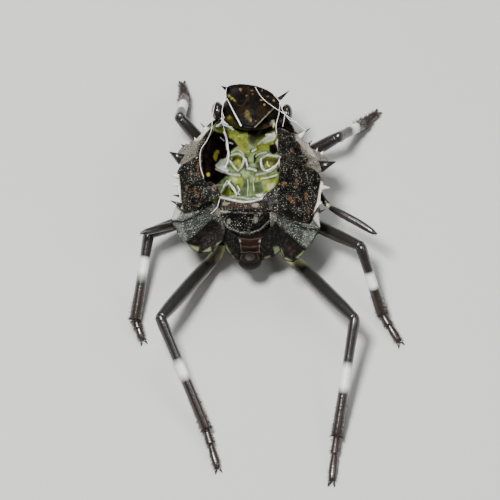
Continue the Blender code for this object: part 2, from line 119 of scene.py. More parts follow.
def prothorax_left(x, y):
    """Left half of the first segment: flat on top, sloping outwards and forwards."""
    return 4.2 - 0.85 * max(0, abs(x) - 1.7) - 0.4 * max(0, y - 2.0)


def prothorax_right(x, y):
    """Right half of the first segment."""
    return 4.15 - 0.55 * (abs(x) - 1.1) - 0.4 * max(0, y - 2.0)


def mesothorax_left(x, y):
    """Left half of the second segment, with its short wing pad."""
    return 4.35 - 0.9 * max(0, abs(x) - 1.75) - 0.45 * max(0, 0.9 - y)


def mesothorax_right(x, y):
    """Right half of the second segment, with its short wing pad."""
    return 4.2 - 0.6 * max(0, abs(x) - 1.1) - 0.35 * max(0, 0.6 - y)


def back_centre(x, y):
    """The band and the gland plate in the middle, arched and falling rearwards."""
    rearward = max(0, -y - 0.1)
    return 3.95 - 0.12 * x * x - 0.7 * rearward - 0.25 * rearward**2


def fan_base(x, y):
    """The pleated sides of the abdomen, without their pleats."""
    rearward = max(0, -0.37 - y)
    return 3.58 - 0.22 * (abs(x) - 1.5) - 0.6 * rearward


def under_plates(x, y):
    """Just below the plates of the back."""
    left = min(prothorax_left(x, y), mesothorax_left(x, y))
    right = min(prothorax_right(x, y), mesothorax_right(x, y))
    return (left if x < 0 else right) - CLEAR


def trough_base(x, y):
    """Inside of the open thorax, without its ridges."""
    side = 0.75 if x < 0 else 0.85
    climb = smooth_step((abs(x) - side) / 0.85)
    neck = 0.45 * smooth_step((y - 3.3) / 0.5)
    return min(1.7 + neck + 1.9 * climb, under_plates(x, y))


def thorax_outside(x, y):
    """Outside of the thorax: a hull that rises at its sides to the plates of the back."""
    climb = smooth_step((abs(x) - 0.95) / 1.0)**1.5
    z = 1.1 + 2.9 * climb + 0.8 * smooth_step((y - 3.4) / 0.7)
    z = min(z, under_plates(x, y))
    if abs(x) < 1.75:
        z = min(z, trough_base(x, y) - HULL_CLEAR)
    if y < 0.3:
        z = min(z, fan_base(x, y) - HULL_CLEAR)
    if y < 0.5 and abs(x) < 1.3:
        z = min(z, back_centre(x, y) - 0.35)
    return z


def head_top(x, y):
    """The crown: a low dome that slopes forwards."""
    dome = max(0, 1 - (x / 1.1)**2 - ((y - 4.6) / 1.2)**2)
    return 3.68 - 0.36 * (y - 3.45) + 0.3 * dome - 0.12 * x * x


# Colour and materials

def linear(code):
    """The linear colour of an sRGB hex value."""
    parts = [int(code[i:i + 2], 16) / 255 for i in (1, 3, 5)]
    return tuple(c / 12.92 if c <= 0.04045 else ((c + 0.055) / 1.055)**2.4 for c in parts)


def fill(tree, socket, value):
    """Link a socket to another, or set its value: a text is an sRGB hex value."""
    if isinstance(value, bpy.types.NodeSocket):
        tree.links.new(value, socket)
    elif isinstance(value, str):
        socket.default_value = (*linear(value), 1)
    else:
        socket.default_value = value


def add(tree, kind, inputs=None, output=0, **properties):
    """Add a node with its properties and inputs, and give one of its outputs."""
    node = tree.nodes.new(kind)
    for name, value in properties.items():
        setattr(node, name, value)
    for name, value in (inputs or {}).items():
        fill(tree, node.inputs[name], value)
    return node.outputs[output]


def tones(tree, pattern, low, high, first, second):
    """A colour that turns from one tone to another as a pattern goes from low to high."""
    share = add(tree, "ShaderNodeMapRange", {"Value": pattern, "From Min": low, "From Max": high})
    return add(tree, "ShaderNodeMix", {0: share, 6: first, 7: second}, 2, data_type="RGBA")


def overlap(tree, share, *patterns):
    """What is left of a share where patterns are high, each given with its two limits."""
    for pattern, low, high in patterns:
        part = add(tree, "ShaderNodeMapRange",
                   {"Value": pattern, "From Min": low, "From Max": high})
        share = add(tree, "ShaderNodeMath", {0: share, 1: part}, operation="MULTIPLY")
    return share


def marked(tree, base, **marks):
    """A colour with the painted marks of a piece laid over it, in the order given."""
    for name, colour in marks.items():
        share = add(tree, "ShaderNodeAttribute", output="Fac", attribute_name=name)
        base = add(tree, "ShaderNodeMix", {0: share, 6: base, 7: colour}, 2, data_type="RGBA")
    return base


def new_material(name):
    """An empty material and its node tree."""
    made = bpy.data.materials.new(name)
    made.use_nodes = True
    return made, made.node_tree


def dress(tree, base, values, height=None, strength=0.0, depth=0.0):
    """Give a shader its colour and values, and bumps of a depth in millimetres."""
    shader = tree.nodes["Principled BSDF"]
    for name, value in {"Base Color": base, **values}.items():
        fill(tree, shader.inputs[name], value)
    if height is not None:
        bump = add(tree, "ShaderNodeBump",
                   {"Height": height, "Strength": strength, "Distance": depth * MM})
        fill(tree, shader.inputs["Normal"], bump)


GRANULE = 1 / (0.056 * MM)  # granules stand about 0.056 mm apart
MOTTLE = 1 / (0.35 * MM)    # clouds of colour are about 0.35 mm across


def granulated_cuticle():
    """Black insect cuticle, hardened in one sheet: satin, with pale standing granules.

    The eye sees a dark ground with bright dots, dusty grey and rust-brown in places.
    The dots are pale granules whose brightness is partly a painted glint.
    """
    made, tree = new_material("granulated_black_cuticle")
    place = add(tree, "ShaderNodeTexCoord", output="Object")
    cells = add(tree, "ShaderNodeTexVoronoi", {"Vector": place, "Scale": GRANULE})
    cloud = add(tree, "ShaderNodeTexNoise", {"Vector": place, "Scale": MOTTLE, "Detail": 5.0})
    grain = add(tree, "ShaderNodeTexNoise",
                {"Vector": place, "Scale": GRANULE * 1.3, "Detail": 3.0})
    chance = add(tree, "ShaderNodeSeparateColor", {"Color": cells.node.outputs["Color"]})
    dots = overlap(tree, 1.0, (cells, 0.42, 0.2))
    granules_and_glints = overlap(tree, dots, (chance, 0.15, 0.8), (grain, 0.36, 0.56), (cloud, 0.3, 0.55))
    share = add(tree, "ShaderNodeMath", {0: granules_and_glints, 1: 0.88}, operation="MULTIPLY")
    base = tones(tree, cloud, 0.42, 0.66, "#080706", "#1a1814")
    dusty = tones(tree, grain, 0.38, 0.58, "#3a3832", "#918e82")
    rusty = tones(tree, grain, 0.4, 0.6, "#241811", "#664833")
    base = marked(tree, base, dust=dusty, rust=rusty)
    # Pale granules; their whiteness is partly a painted glint on each
    base = add(tree, "ShaderNodeMix", {0: share, 6: base, 7: "#b4b4a6"}, 2, data_type="RGBA")
    cream = tones(tree, cloud, 0.4, 0.62, "#e4e1d2", "#aeab98")
    base = marked(tree, base, pale=cream, ink="#0a0807")
    dress(tree, base, {"Roughness": 0.38, "Specular IOR Level": 0.06}, dots, 0.8, 0.025)
    return made


def head_cuticle():
    """Nearly black insect cuticle of the head, smoother than the back's.

    The eye sees a quiet dark shell with small ochre and olive marks.
    """
    made, tree = new_material("smooth_black_cuticle")
    place = add(tree, "ShaderNodeTexCoord", output="Object")
    cloud = add(tree, "ShaderNodeTexNoise",
                {"Vector": place, "Scale": MOTTLE * 1.6, "Detail": 5.0})
    cells = add(tree, "ShaderNodeTexVoronoi", {"Vector": place, "Scale": GRANULE})
    base = tones(tree, cloud, 0.42, 0.7, "#070605", "#150f0b")
    base = marked(tree, base, brown="#2e2215", rust="#a9783f", olive="#807a35", pale="#cfc9b2")
    dress(tree, base, {"Roughness": 0.4, "Specular IOR Level": 0.08}, cells, 0.25, 0.012)
    return made


def fan_cuticle():
    """Thin grey insect cuticle of the pleated sides, powdered with wax.

    The eye sees a dull grey with fine pale specks, and black folds.
    The folds' black is partly painted shade, and one pale patch is a painted sheen.
    """
    made, tree = new_material("powdered_grey_cuticle")
    place = add(tree, "ShaderNodeTexCoord", output="Object")
    grain = add(tree, "ShaderNodeTexNoise",
                {"Vector": place, "Scale": GRANULE * 1.5, "Detail": 4.0})
    cloud = add(tree, "ShaderNodeTexNoise", {"Vector": place, "Scale": MOTTLE, "Detail": 3.0})
    cells = add(tree, "ShaderNodeTexVoronoi", {"Vector": place, "Scale": GRANULE})
    chance = add(tree, "ShaderNodeSeparateColor", {"Color": cells.node.outputs["Color"]})
    folded = add(tree, "ShaderNodeAttribute", output="Fac", attribute_name="fold")
    specks = overlap(tree, 1.0, (cells, 0.42, 0.2), (chance, 0.2, 0.8), (folded, 1.08, 0.1))
    dark = tones(tree, grain, 0.44, 0.58, "#151614", "#3a3c38")
    # The lighter grey of the dusted patches; one of them, on the right fan, is a painted sheen
    light = tones(tree, grain, 0.4, 0.55, "#282926", "#50524d")
    # The black of the seams and pleats is partly painted shade on their shadow side
    fold = tones(tree, cloud, 0.45, 0.75, "#080605", "#15100d")
    base = marked(tree, dark, dust=light, fold=fold)
    base = add(tree, "ShaderNodeMix", {0: specks, 6: base, 7: "#96998f"}, 2, data_type="RGBA")
    base = marked(tree, base, rust="#6b5040", olive="#666d4e", pale="#cfccbd", ink="#0a0807")
    dress(tree, base, {"Roughness": 0.5, "Specular IOR Level": 0.1}, grain, 0.5, 0.015)
    return made


def trough_membrane():
    """Thin soft insect membrane that lined the thorax, still moist-looking.

    The eye sees yellow-green skin with glossy white ridges and black walls with some gloss.
    Some shade, glints and sheens on it are painted into the colour.
    """
    made, tree = new_material("yellow_green_membrane")
    place = add(tree, "ShaderNodeTexCoord", output="Object")
    cloud = add(tree, "ShaderNodeTexNoise",
                {"Vector": place, "Scale": MOTTLE * 1.4, "Detail": 5.0})
    ink = add(tree, "ShaderNodeAttribute", output="Fac", attribute_name="ink")
    pale = add(tree, "ShaderNodeAttribute", output="Fac", attribute_name="pale")
    wall_gloss = overlap(tree, 0.12, (ink, 1.0, 0.0))
    ridge_gloss = overlap(tree, 0.5, (pale, 0.0, 1.0))
    gloss = add(tree, "ShaderNodeMath", {0: ridge_gloss, 1: wall_gloss}, operation="MAXIMUM")
    base = tones(tree, cloud, 0.38, 0.62, "#4a5832", "#78875d")
    bright = (*bpy.context.scene.shed_skin.green, 1)
    green = tones(tree, cloud, 0.35, 0.65, "#525a18", bright)
    # The black walls turn reddish and lighter in clouds: a painted sheen
    wall = tones(tree, cloud, 0.4, 0.62, "#060404", "#170e0d")
    base = marked(tree, base, olive=green, shade="#1e2914", brown="#2e211c", ink=wall,
                  yellow="#78742a", pale="#fbfbf7")
    dress(tree, base, {"Roughness": 0.24, "Specular IOR Level": 0.0, "Coat Weight": gloss,
                       "Coat Roughness": 0.12}, cloud, 0.4, 0.05)
    return made


def limb_cuticle():
    """Hard insect cuticle of the limbs, smooth with fine pits.

    The eye sees a glossy shell, black above and reddish below, with pale rings and bases.
    The greyer black of the upper side is a painted sheen.
    """
    made, tree = new_material("glossy_limb_cuticle")
    place = add(tree, "ShaderNodeTexCoord", output="Object")
    cloud = add(tree, "ShaderNodeTexNoise", {"Vector": place, "Scale": MOTTLE, "Detail": 5.0})
    cells = add(tree, "ShaderNodeTexVoronoi", {"Vector": place, "Scale": GRANULE * 0.8})
    facing = add(tree, "ShaderNodeNewGeometry", output="Normal")
    upward = add(tree, "ShaderNodeSeparateXYZ", {"Vector": facing}, "Z")
    under = tones(tree, cloud, 0.45, 0.7, "#120b08", "#2a1a13")
    # Surfaces that face up get a greyer tone: a painted sheen
    base = tones(tree, upward, 0.3, 0.9, under, "#1d1b19")
    ring = (*bpy.context.scene.shed_skin.ring, 1)
    base = marked(tree, base, brown="#2a1b14", olive="#bcb98a", pale=ring)
    dress(tree, base, {"Roughness": 0.3, "IOR": 1.56, "Coat Weight": 0.4,
                       "Coat Roughness": 0.2}, cells, 0.35, 0.02)
    return made


def brown_cuticle():
    """Dark red-brown insect cuticle of the last segments, thin and dry.

    The eye sees a dull brown shell with pale lines.
    """
    made, tree = new_material("red_brown_cuticle")
    place = add(tree, "ShaderNodeTexCoord", output="Object")
    cloud = add(tree, "ShaderNodeTexNoise",
                {"Vector": place, "Scale": MOTTLE * 1.5, "Detail": 5.0})
    base = tones(tree, cloud, 0.4, 0.7, "#100705", "#22110b")
    base = marked(tree, base, rust="#4f2a1a", pale="#a59d88", ink="#0a0807")
    dress(tree, base, {"Roughness": 0.55, "Specular IOR Level": 0.16}, cloud, 0.4, 0.02)
    return made


def eye_shell():
    """Thin clear cuticle over the empty dark eye, very glossy.

    Real facets are about 0.02 mm apart; they are drawn twice as coarse, so that they show.
    """
    made, tree = new_material("dark_eye_shell")
    place = add(tree, "ShaderNodeTexCoord", output="Object")
    facets = add(tree, "ShaderNodeTexVoronoi",
                 {"Vector": place, "Scale": GRANULE * 1.4, "Randomness": 0.2})
    base = tones(tree, facets, 0.2, 0.6, "#2a211c", "#0d0a09")
    dress(tree, base, {"Roughness": 0.12, "Coat Weight": 0.8, "Coat Roughness": 0.05},
          facets, 0.3, 0.01)
    return made


def plain_cuticle(name, light, dark, roughness, coat=0.0):
    """Even insect cuticle of thorns and tube linings, lightly clouded with a darker tone."""
    made, tree = new_material(name)
    place = add(tree, "ShaderNodeTexCoord", output="Object")
    cloud = add(tree, "ShaderNodeTexNoise",
                {"Vector": place, "Scale": MOTTLE * 2, "Detail": 3.0})
    base = tones(tree, cloud, 0.4, 0.7, light, dark)
    dress(tree, base, {"Roughness": roughness, "Coat Weight": coat})
    return made


# Marks in pixels of the photograph

def spot(marks, column, row):
    """How deep a pixel lies in the nearest of a list of oval marks: 1 inside, 0 outside."""
    best = 0.0
    column += 0.9 * ruffle(column, row, 1.9, 7.0)
    row += 0.9 * ruffle(column, row, 1.9, 19.0)
    for centre_x, centre_y, half_x, half_y in marks:
        away = math.hypot((column - centre_x) / half_x, (row - centre_y) / half_y)
        best = max(best, smooth_step((1.35 - away) / 0.6))
    return best


def far_from(points, column, row, margin):
    """True where a pixel is clearly farther than a margin from all of the points."""
    columns = [c for c, _ in points]
    rows = [r for _, r in points]
    return (column < min(columns) - margin or column > max(columns) + margin
            or row < min(rows) - margin or row > max(rows) + margin)


def nearest(points, x, y):
    """The place of a bent line that is nearest to a point, and how far away it is."""
    here = Vector((x, y))
    best, found = math.inf, None
    for start, end in zip(points, points[1:]):
        start = Vector(start)
        along = Vector(end) - start
        share = min(max((here - start).dot(along) / along.length_squared, 0), 1)
        place = start + along * share
        away = (here - place).length
        if away < best:
            best, found = away, place
    return found, best


def line_distance(points, column, row):
    """Distance in pixels from a pixel to a bent line."""
    return nearest(points, column, row)[1]


def ridge(points, column, row, half_width):
    """1 on a bent line, falling off to both sides like a round ridge."""
    return math.exp(-(line_distance(points, column, row) / half_width)**2)


def stripe(points, column, row, half_width, blur=0.8):
    """1 on a bent line, fading to 0 beyond its half width."""
    return smooth_step((half_width + blur - line_distance(points, column, row)) / (2 * blur))


def inside(outline, x, y):
    """True where a point lies within a closed outline."""
    hit = False
    for (ax, ay), (bx, by) in zip(outline, outline[1:] + outline[:1]):
        if (ay > y) != (by > y) and x < (bx - ax) * (y - ay) / (by - ay) + ax:
            hit = not hit
    return hit


def patch(corners, column, row, blur=1.0):
    """1 inside a polygon of pixels, fading over its edge."""
    if far_from(corners, column, row, blur):
        return 0.0
    away = line_distance([*corners, corners[0]], column, row)
    if inside(corners, column, row):
        away = -away
    return smooth_step((blur - away) / (2 * blur))


# Building pieces

def raised(surface, ridges, *lumps, lift=0.0):
    """The height of a surface that is lifted and has ridges and lumps.

    A ridge has its line of pixels, its rise and its half width in pixels. Lumps have their
    height, their size and, for a pattern of their own, a seed.
    """
    def height(x, y):
        z = surface(x, y) + lift
        column, row = pixel_of(x, y, z)
        for line, rise, half in ridges:
            z += rise * ridge(line, column, row, half)
        for high, *pattern in lumps:
            z += high * ruffle(x, y, *pattern)
        return z
    return height


def curve(a, b, c, d, steps):
    """Points on a Catmull-Rom curve from b on, as far as c, with a before and d behind."""
    return [
        0.5 * (2 * b + (c - a) * t + (2 * a - 5 * b + 4 * c - d) * t**2
               + (3 * b - a - 3 * c + d) * t**3)
        for t in (step / steps for step in range(steps))
    ]


def rounded(points, steps=4):
    """A closed smooth outline through a few points."""
    count = len(points)
    ring = []
    for i in range(count):
        ring += curve(*(Vector(points[(i + k) % count]) for k in (-1, 0, 1, 2)), steps)
    return [tuple(p) for p in ring]


def smooth_path(points, steps=6):
    """Points on a smooth open curve through a few points; works for any length of vector."""
    ends = [Vector(points[0]), *map(Vector, points), Vector(points[-1])]
    path = []
    for i in range(1, len(ends) - 2):
        path += curve(*ends[i - 1:i + 3], steps)
    path.append(ends[-1])
    return path


def plan_of(pixels, surface):
    """An outline in the plan, from pixels that show a surface's edge."""
    return [tuple(on_surface(column, row, surface).xy) for column, row in pixels]


def sheet_mesh(outline, surface, spacing=FINE):
    """A fine grid trimmed to an outline, its edge points drawn onto the outline."""
    xs = [p[0] for p in outline]
    ys = [p[1] for p in outline]
    width, length = max(xs) - min(xs), max(ys) - min(ys)
    middle = Vector(((max(xs) + min(xs)) / 2, (max(ys) + min(ys)) / 2, 0))
    bm = bmesh.new()
    bmesh.ops.create_grid(
        bm,
        x_segments=max(3, round(width / spacing)),
        y_segments=max(3, round(length / spacing)),
        size=0.5,
        matrix=Matrix.Translation(middle) @ Matrix.Diagonal((width, length, 1, 1)),
    )
    outer = []
    for face in bm.faces:
        centre = face.calc_center_median()
        if not inside(outline, centre.x, centre.y):
            outer.append(face)
    bmesh.ops.delete(bm, geom=outer, context="FACES")
    closed = [*outline, outline[0]]
    for vert in bm.verts:
        if vert.is_boundary:
            vert.co.xy = nearest(closed, vert.co.x, vert.co.y)[0]
    for vert in bm.verts:
        vert.co.z = surface(vert.co.x, vert.co.y)
    return bm


def finish_piece(name, bm, material, nodes, paint=None, sheet=False):
    """Turn a bmesh in the body's frame into a finished piece with painted attributes."""
    if not bm.faces:
        raise RuntimeError(name + " has no faces")
    bmesh.ops.remove_doubles(bm, verts=bm.verts, dist=MERGE)
    mesh = bpy.data.meshes.new(name)
    if paint:
        for key in paint:
            layer = bm.verts.layers.float.get(key) or bm.verts.layers.float.new(key)
            for vert in bm.verts:
                vert[layer] = paint[key](vert.co)
    for vert in bm.verts:
        vert.co = metres(vert.co)
    bmesh.ops.recalc_face_normals(bm, faces=bm.faces)
    if sheet:
        upward = sum(face.normal.z * face.calc_area() for face in bm.faces)
        if upward < 0:
            bmesh.ops.reverse_faces(bm, faces=bm.faces)
    bm.to_mesh(mesh)
    bm.free()
    obj = bpy.data.objects.new(name, mesh)
    bpy.context.scene.collection.objects.link(obj)
    mesh.materials.append(material)
    mesh.shade_smooth()
    if sheet:
        skin = obj.modifiers.new("wall", "SOLIDIFY")
        skin.thickness = bpy.context.scene.shed_skin.wall
        skin.offset = -1
        skin.use_even_offset = False
    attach(obj, "root")
    if nodes:
        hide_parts(*nodes)


def bar_mesh(bm, stations, segments=12, shape=None, tag=None, values=None):
    """Draw out a bar through stations of (x, y, z, radius), closed at both ends.

    A shape swells the bar by the share of its length and the angle around it. A tag is an
    attribute, with its values by the share of the length.
    """
    layer = None
    if tag:
        layer = bm.verts.layers.float.get(tag) or bm.verts.layers.float.new(tag)
    made = bmesh.ops.create_circle(bm, cap_ends=False, segments=segments, radius=1.0)
    ring = made["verts"]
    count = len(stations)
    side = None
    ends = []
    for i in range(count):
        here = Vector(stations[i][:3])
        ahead = Vector(stations[min(i + 1, count - 1)][:3])
        behind = Vector(stations[max(i - 1, 0)][:3])
        line = (ahead - behind).normalized()
        if side is None:
            side = line.orthogonal().normalized()
            if abs(line.z) < 0.9:
                side = line.cross(Vector((0, 0, 1))).normalized()
        side = (side - line * side.dot(line)).normalized()
        up = side.cross(line).normalized()
        if i:
            edges = {e for v in ring for e in v.link_edges if all(w in ring for w in e.verts)}
            grown = bmesh.ops.extrude_edge_only(bm, edges=list(edges))
            fresh = [v for v in grown["geom"] if isinstance(v, bmesh.types.BMVert)]
            order = []
            for old in ring:
                for edge in old.link_edges:
                    other = edge.other_vert(old)
                    if other in fresh:
                        order.append(other)
                        break
            ring = order
        radius = stations[i][3]
        for k, vert in enumerate(ring):
            angle = 2 * math.pi * k / segments
            swell = shape(i / (count - 1), angle) if shape else 1.0
            vert.co = here + (side * math.cos(angle) + up * math.sin(angle)) * radius * swell
            if layer:
                vert[layer] = values(i / (count - 1))
        if i in (0, count - 1):
            ends.append(list(ring))
    for end in ends:
        bmesh.ops.contextual_create(bm, geom=end)


def ball(bm, place, half_sizes, around, along):
    """An ellipsoid with its middle at a place."""
    made = bmesh.ops.create_uvsphere(bm, u_segments=around, v_segments=along, radius=1.0)
    shape = Matrix.Translation(place) @ Matrix.Diagonal((*half_sizes, 1))
    bmesh.ops.transform(bm, matrix=shape, verts=made["verts"])


def cone_mesh(bm, root, tip, radius, sides=3, end=0.15):
    """One bristle or thorn from root to tip."""
    line = Vector(tip) - Vector(root)
    turn = line.to_track_quat("Z", "Y").to_matrix().to_4x4()
    middle = (Vector(root) + Vector(tip)) / 2
    bmesh.ops.create_cone(
        bm, cap_ends=True, segments=sides, radius1=radius, radius2=radius * end,
        depth=line.length, matrix=Matrix.Translation(middle) @ turn,
    )


# Outlines of the plates, in pixels of the photograph
PRONOTUM_LEFT = [
    (213, 130.5), (209.5, 137), (205, 144), (202, 151), (201.5, 157), (193.3, 160),
    (187, 163.5), (181, 166), (179, 161), (177.8, 154), (181, 149), (185, 145), (190, 142),
    (196, 139), (200, 136), (202.5, 133), (204.5, 129), (206, 126.5), (209, 128),
]
MESONOTUM_LEFT = [
    (201.5, 157), (201, 165), (203, 174), (205.5, 181.5), (212.5, 182.5), (217, 186.5),
    (220, 192.8), (218, 196.5), (211, 201.5), (205, 204.4), (198, 208.5), (192.5, 211),
    (185, 212.8), (180.5, 207), (179.5, 200), (178, 190), (178, 180), (177, 174), (181, 166),
    (187, 163.5), (193.3, 160),
]
PRONOTUM_RIGHT = [
    (277.3, 129), (278.3, 140), (278.8, 150), (281.5, 157), (292, 162), (302, 166),
    (314, 170.3), (319, 173), (325, 168), (327.5, 161), (325, 157), (322, 153.5), (315, 150),
    (310, 147.5), (308.3, 143.5), (304, 141.5), (301.5, 139), (300.5, 135.5), (303, 132.5),
    (300, 132), (296.5, 134.5), (293.3, 134.5), (286.7, 130.5), (282, 128.6),
]
MESONOTUM_RIGHT = [
    (281.5, 157), (280.5, 165), (280, 172), (278.3, 181.7), (275, 187), (269.5, 191.5),
    (264, 196), (262, 202), (264, 208), (275.8, 212.5), (288.3, 218.3), (301.7, 221.8),
    (309.5, 222.6), (313.5, 214.5), (317, 208), (319.8, 203), (320.5, 195), (322.3, 190),
    (323, 186), (322.3, 181.5), (319.2, 175), (314, 170.3), (302, 166), (292, 162),
]
BAND = [
    (219.5, 197), (230, 199.5), (242, 202), (252, 201.5), (264, 198), (270, 200),
    (268, 210.5), (256, 212), (242, 212.5), (230, 211.5), (218.5, 209.5), (217.5, 203),
]
GLAND_PLATE = [
    (218.3, 209.6), (231, 211.5), (244, 212.6), (257, 212.8), (269, 211.5), (271.2, 215),
    (269.6, 221.7), (261, 230.6), (249.6, 234.6), (240.4, 234.1), (228.2, 228.6),
    (220.3, 218.6),
]
FAN_LEFT = [
    (178.5, 203), (176, 207), (173, 216), (171.7, 221.3), (174.5, 224), (178, 234),
    (181.7, 242.8), (185.6, 243.9), (191.7, 249.4), (200, 253.3), (206.7, 252.8), (213.3, 251.7),
    (214.6, 248.3), (222.8, 241.3), (225.5, 229), (221.5, 219), (219.3, 211), (217, 204),
    (208, 203), (192, 206),
]
FAN_RIGHT = [
    (318.5, 205), (318.8, 214), (320, 228.5), (318, 231.2), (313, 241), (307.2, 250.8),
    (300, 257), (292.8, 262.4), (283.9, 260), (280.6, 251.7), (277, 240), (270, 228), (269.6, 214),
    (280, 206), (300, 210),
]
LOBE_LEFT = [
    (222.8, 239), (223.4, 243), (226, 250), (229.2, 255), (231.7, 258.6), (236, 260.4),
    (239.5, 260), (240.5, 250), (239, 241), (235, 234), (227, 228), (219, 230),
]
LOBE_RIGHT = [
    (280.8, 251), (274.4, 256.3), (271.7, 258.6), (266, 260.2), (261, 260.6), (259.5, 250),
    (261, 241), (266, 233), (272, 226), (279, 232),
]
TAIL_CENTRE = [
    (232, 226), (236, 235), (239.5, 243), (240.2, 250), (238, 259.5), (250, 262), (262.5, 258),
    (259.6, 250), (260.6, 243), (264, 235), (268, 226), (250, 220),
]
CROWN = [
    (250.7, 128.6), (256, 127), (264, 119), (273.6, 109.5), (279.3, 102.6), (278.4, 99),
    (272.9, 94.3), (262.1, 88.6), (250.7, 85.7), (240.7, 84.6), (231, 85.6), (226.4, 89),
    (226.2, 96.4), (227.5, 103.6), (233.6, 115), (240.7, 126),
]

# Marks on the plates: column, row and half sizes in pixels
RUST_LEFT = [
    (191.3, 155.8, 2.0, 1.2), (202, 142.5, 1.0, 2.4), (192.5, 161.7, 0.8, 0.8),
    (191.3, 173.3, 1.2, 3.6), (198, 166.7, 1.2, 3.2), (199.2, 174.2, 1.2, 2.0),
    (194.6, 189.8, 1.3, 1.8), (196.4, 193, 1.3, 1.8), (198.2, 196.4, 1.2, 1.8),
    (187, 188.3, 1.4, 3.2), (214.2, 188.3, 2.2, 2.2),
]
RUST_RIGHT = [
    (292, 150.8, 1.6, 2.6), (296.7, 170.8, 1.3, 1.6), (296.3, 183.3, 1.6, 3.8),
    (283.8, 184.2, 2.4, 2.2), (289.5, 198.5, 2.6, 2.6), (292.5, 201.5, 2.8, 2.4),
    (305.8, 196.7, 1.8, 4.0), (308.3, 211.7, 1.4, 3.0), (301.7, 146.7, 1.2, 2.4),
    (305.8, 150.8, 1.2, 1.8), (308.5, 165.5, 4.5, 1.0), (286.7, 130.8, 3.0, 1.2),
]
GREY_LEFT = [(206, 126), (204.5, 133), (200, 142), (197.5, 150), (196, 158), (181, 168),
             (174, 155), (184, 143), (197, 138)]
GREY_RIGHT = [(300, 143), (309, 146), (313, 148), (328, 152), (331, 163), (318, 174),
              (306, 166), (309, 160), (303, 152)]
PALE_LEFT = [(206, 125), (210, 128.5), (205.5, 133.5), (200.5, 140), (196, 142), (195, 138.5),
             (202, 133)]
PALE_RIGHT = [(295, 135), (303, 131), (306, 132), (301.8, 138.5), (308.5, 143.3), (311, 149),
              (316, 158), (308, 154), (301, 145), (296, 140)]
MARGIN_LEFT = [(175.5, 172), (179, 176), (180.5, 190), (181.2, 200), (182.8, 209), (179, 210),
               (176.5, 195)]
MARGIN_RIGHT = [(320.8, 181), (324, 183), (323.5, 191), (321, 203), (315, 215.5), (313.6, 212),
                (316.8, 203), (318.9, 191)]
LIP_LEFT = [(203, 136), (199, 143), (197, 150), (196, 157)]
LIP_RIGHT = [(293, 136), (298, 142), (303, 149), (308, 158)]
HIND_LEFT = [(202, 156.5), (193.3, 159.6), (187, 163), (181, 165.8)]
HIND_RIGHT = [(281.7, 156.7), (292.5, 161.7), (302.5, 165.8), (314.2, 170)]
PAD_RIDGE_LEFT = [(184, 192), (187, 202), (195, 206), (205, 203)]
PAD_RIDGE_RIGHT = [(285.8, 195.8), (292, 196.3), (298.3, 198.3), (303.3, 205), (306.7, 212.5),
                   (309.2, 220)]
SPOTS_BAND = [(225.6, 204, 2.9, 1.7), (255.5, 205.5, 3.2, 2.2)]
SPOTS_GLAND = [(228.9, 221.7, 2.0, 2.5), (255.5, 219.6, 2.2, 2.9)]
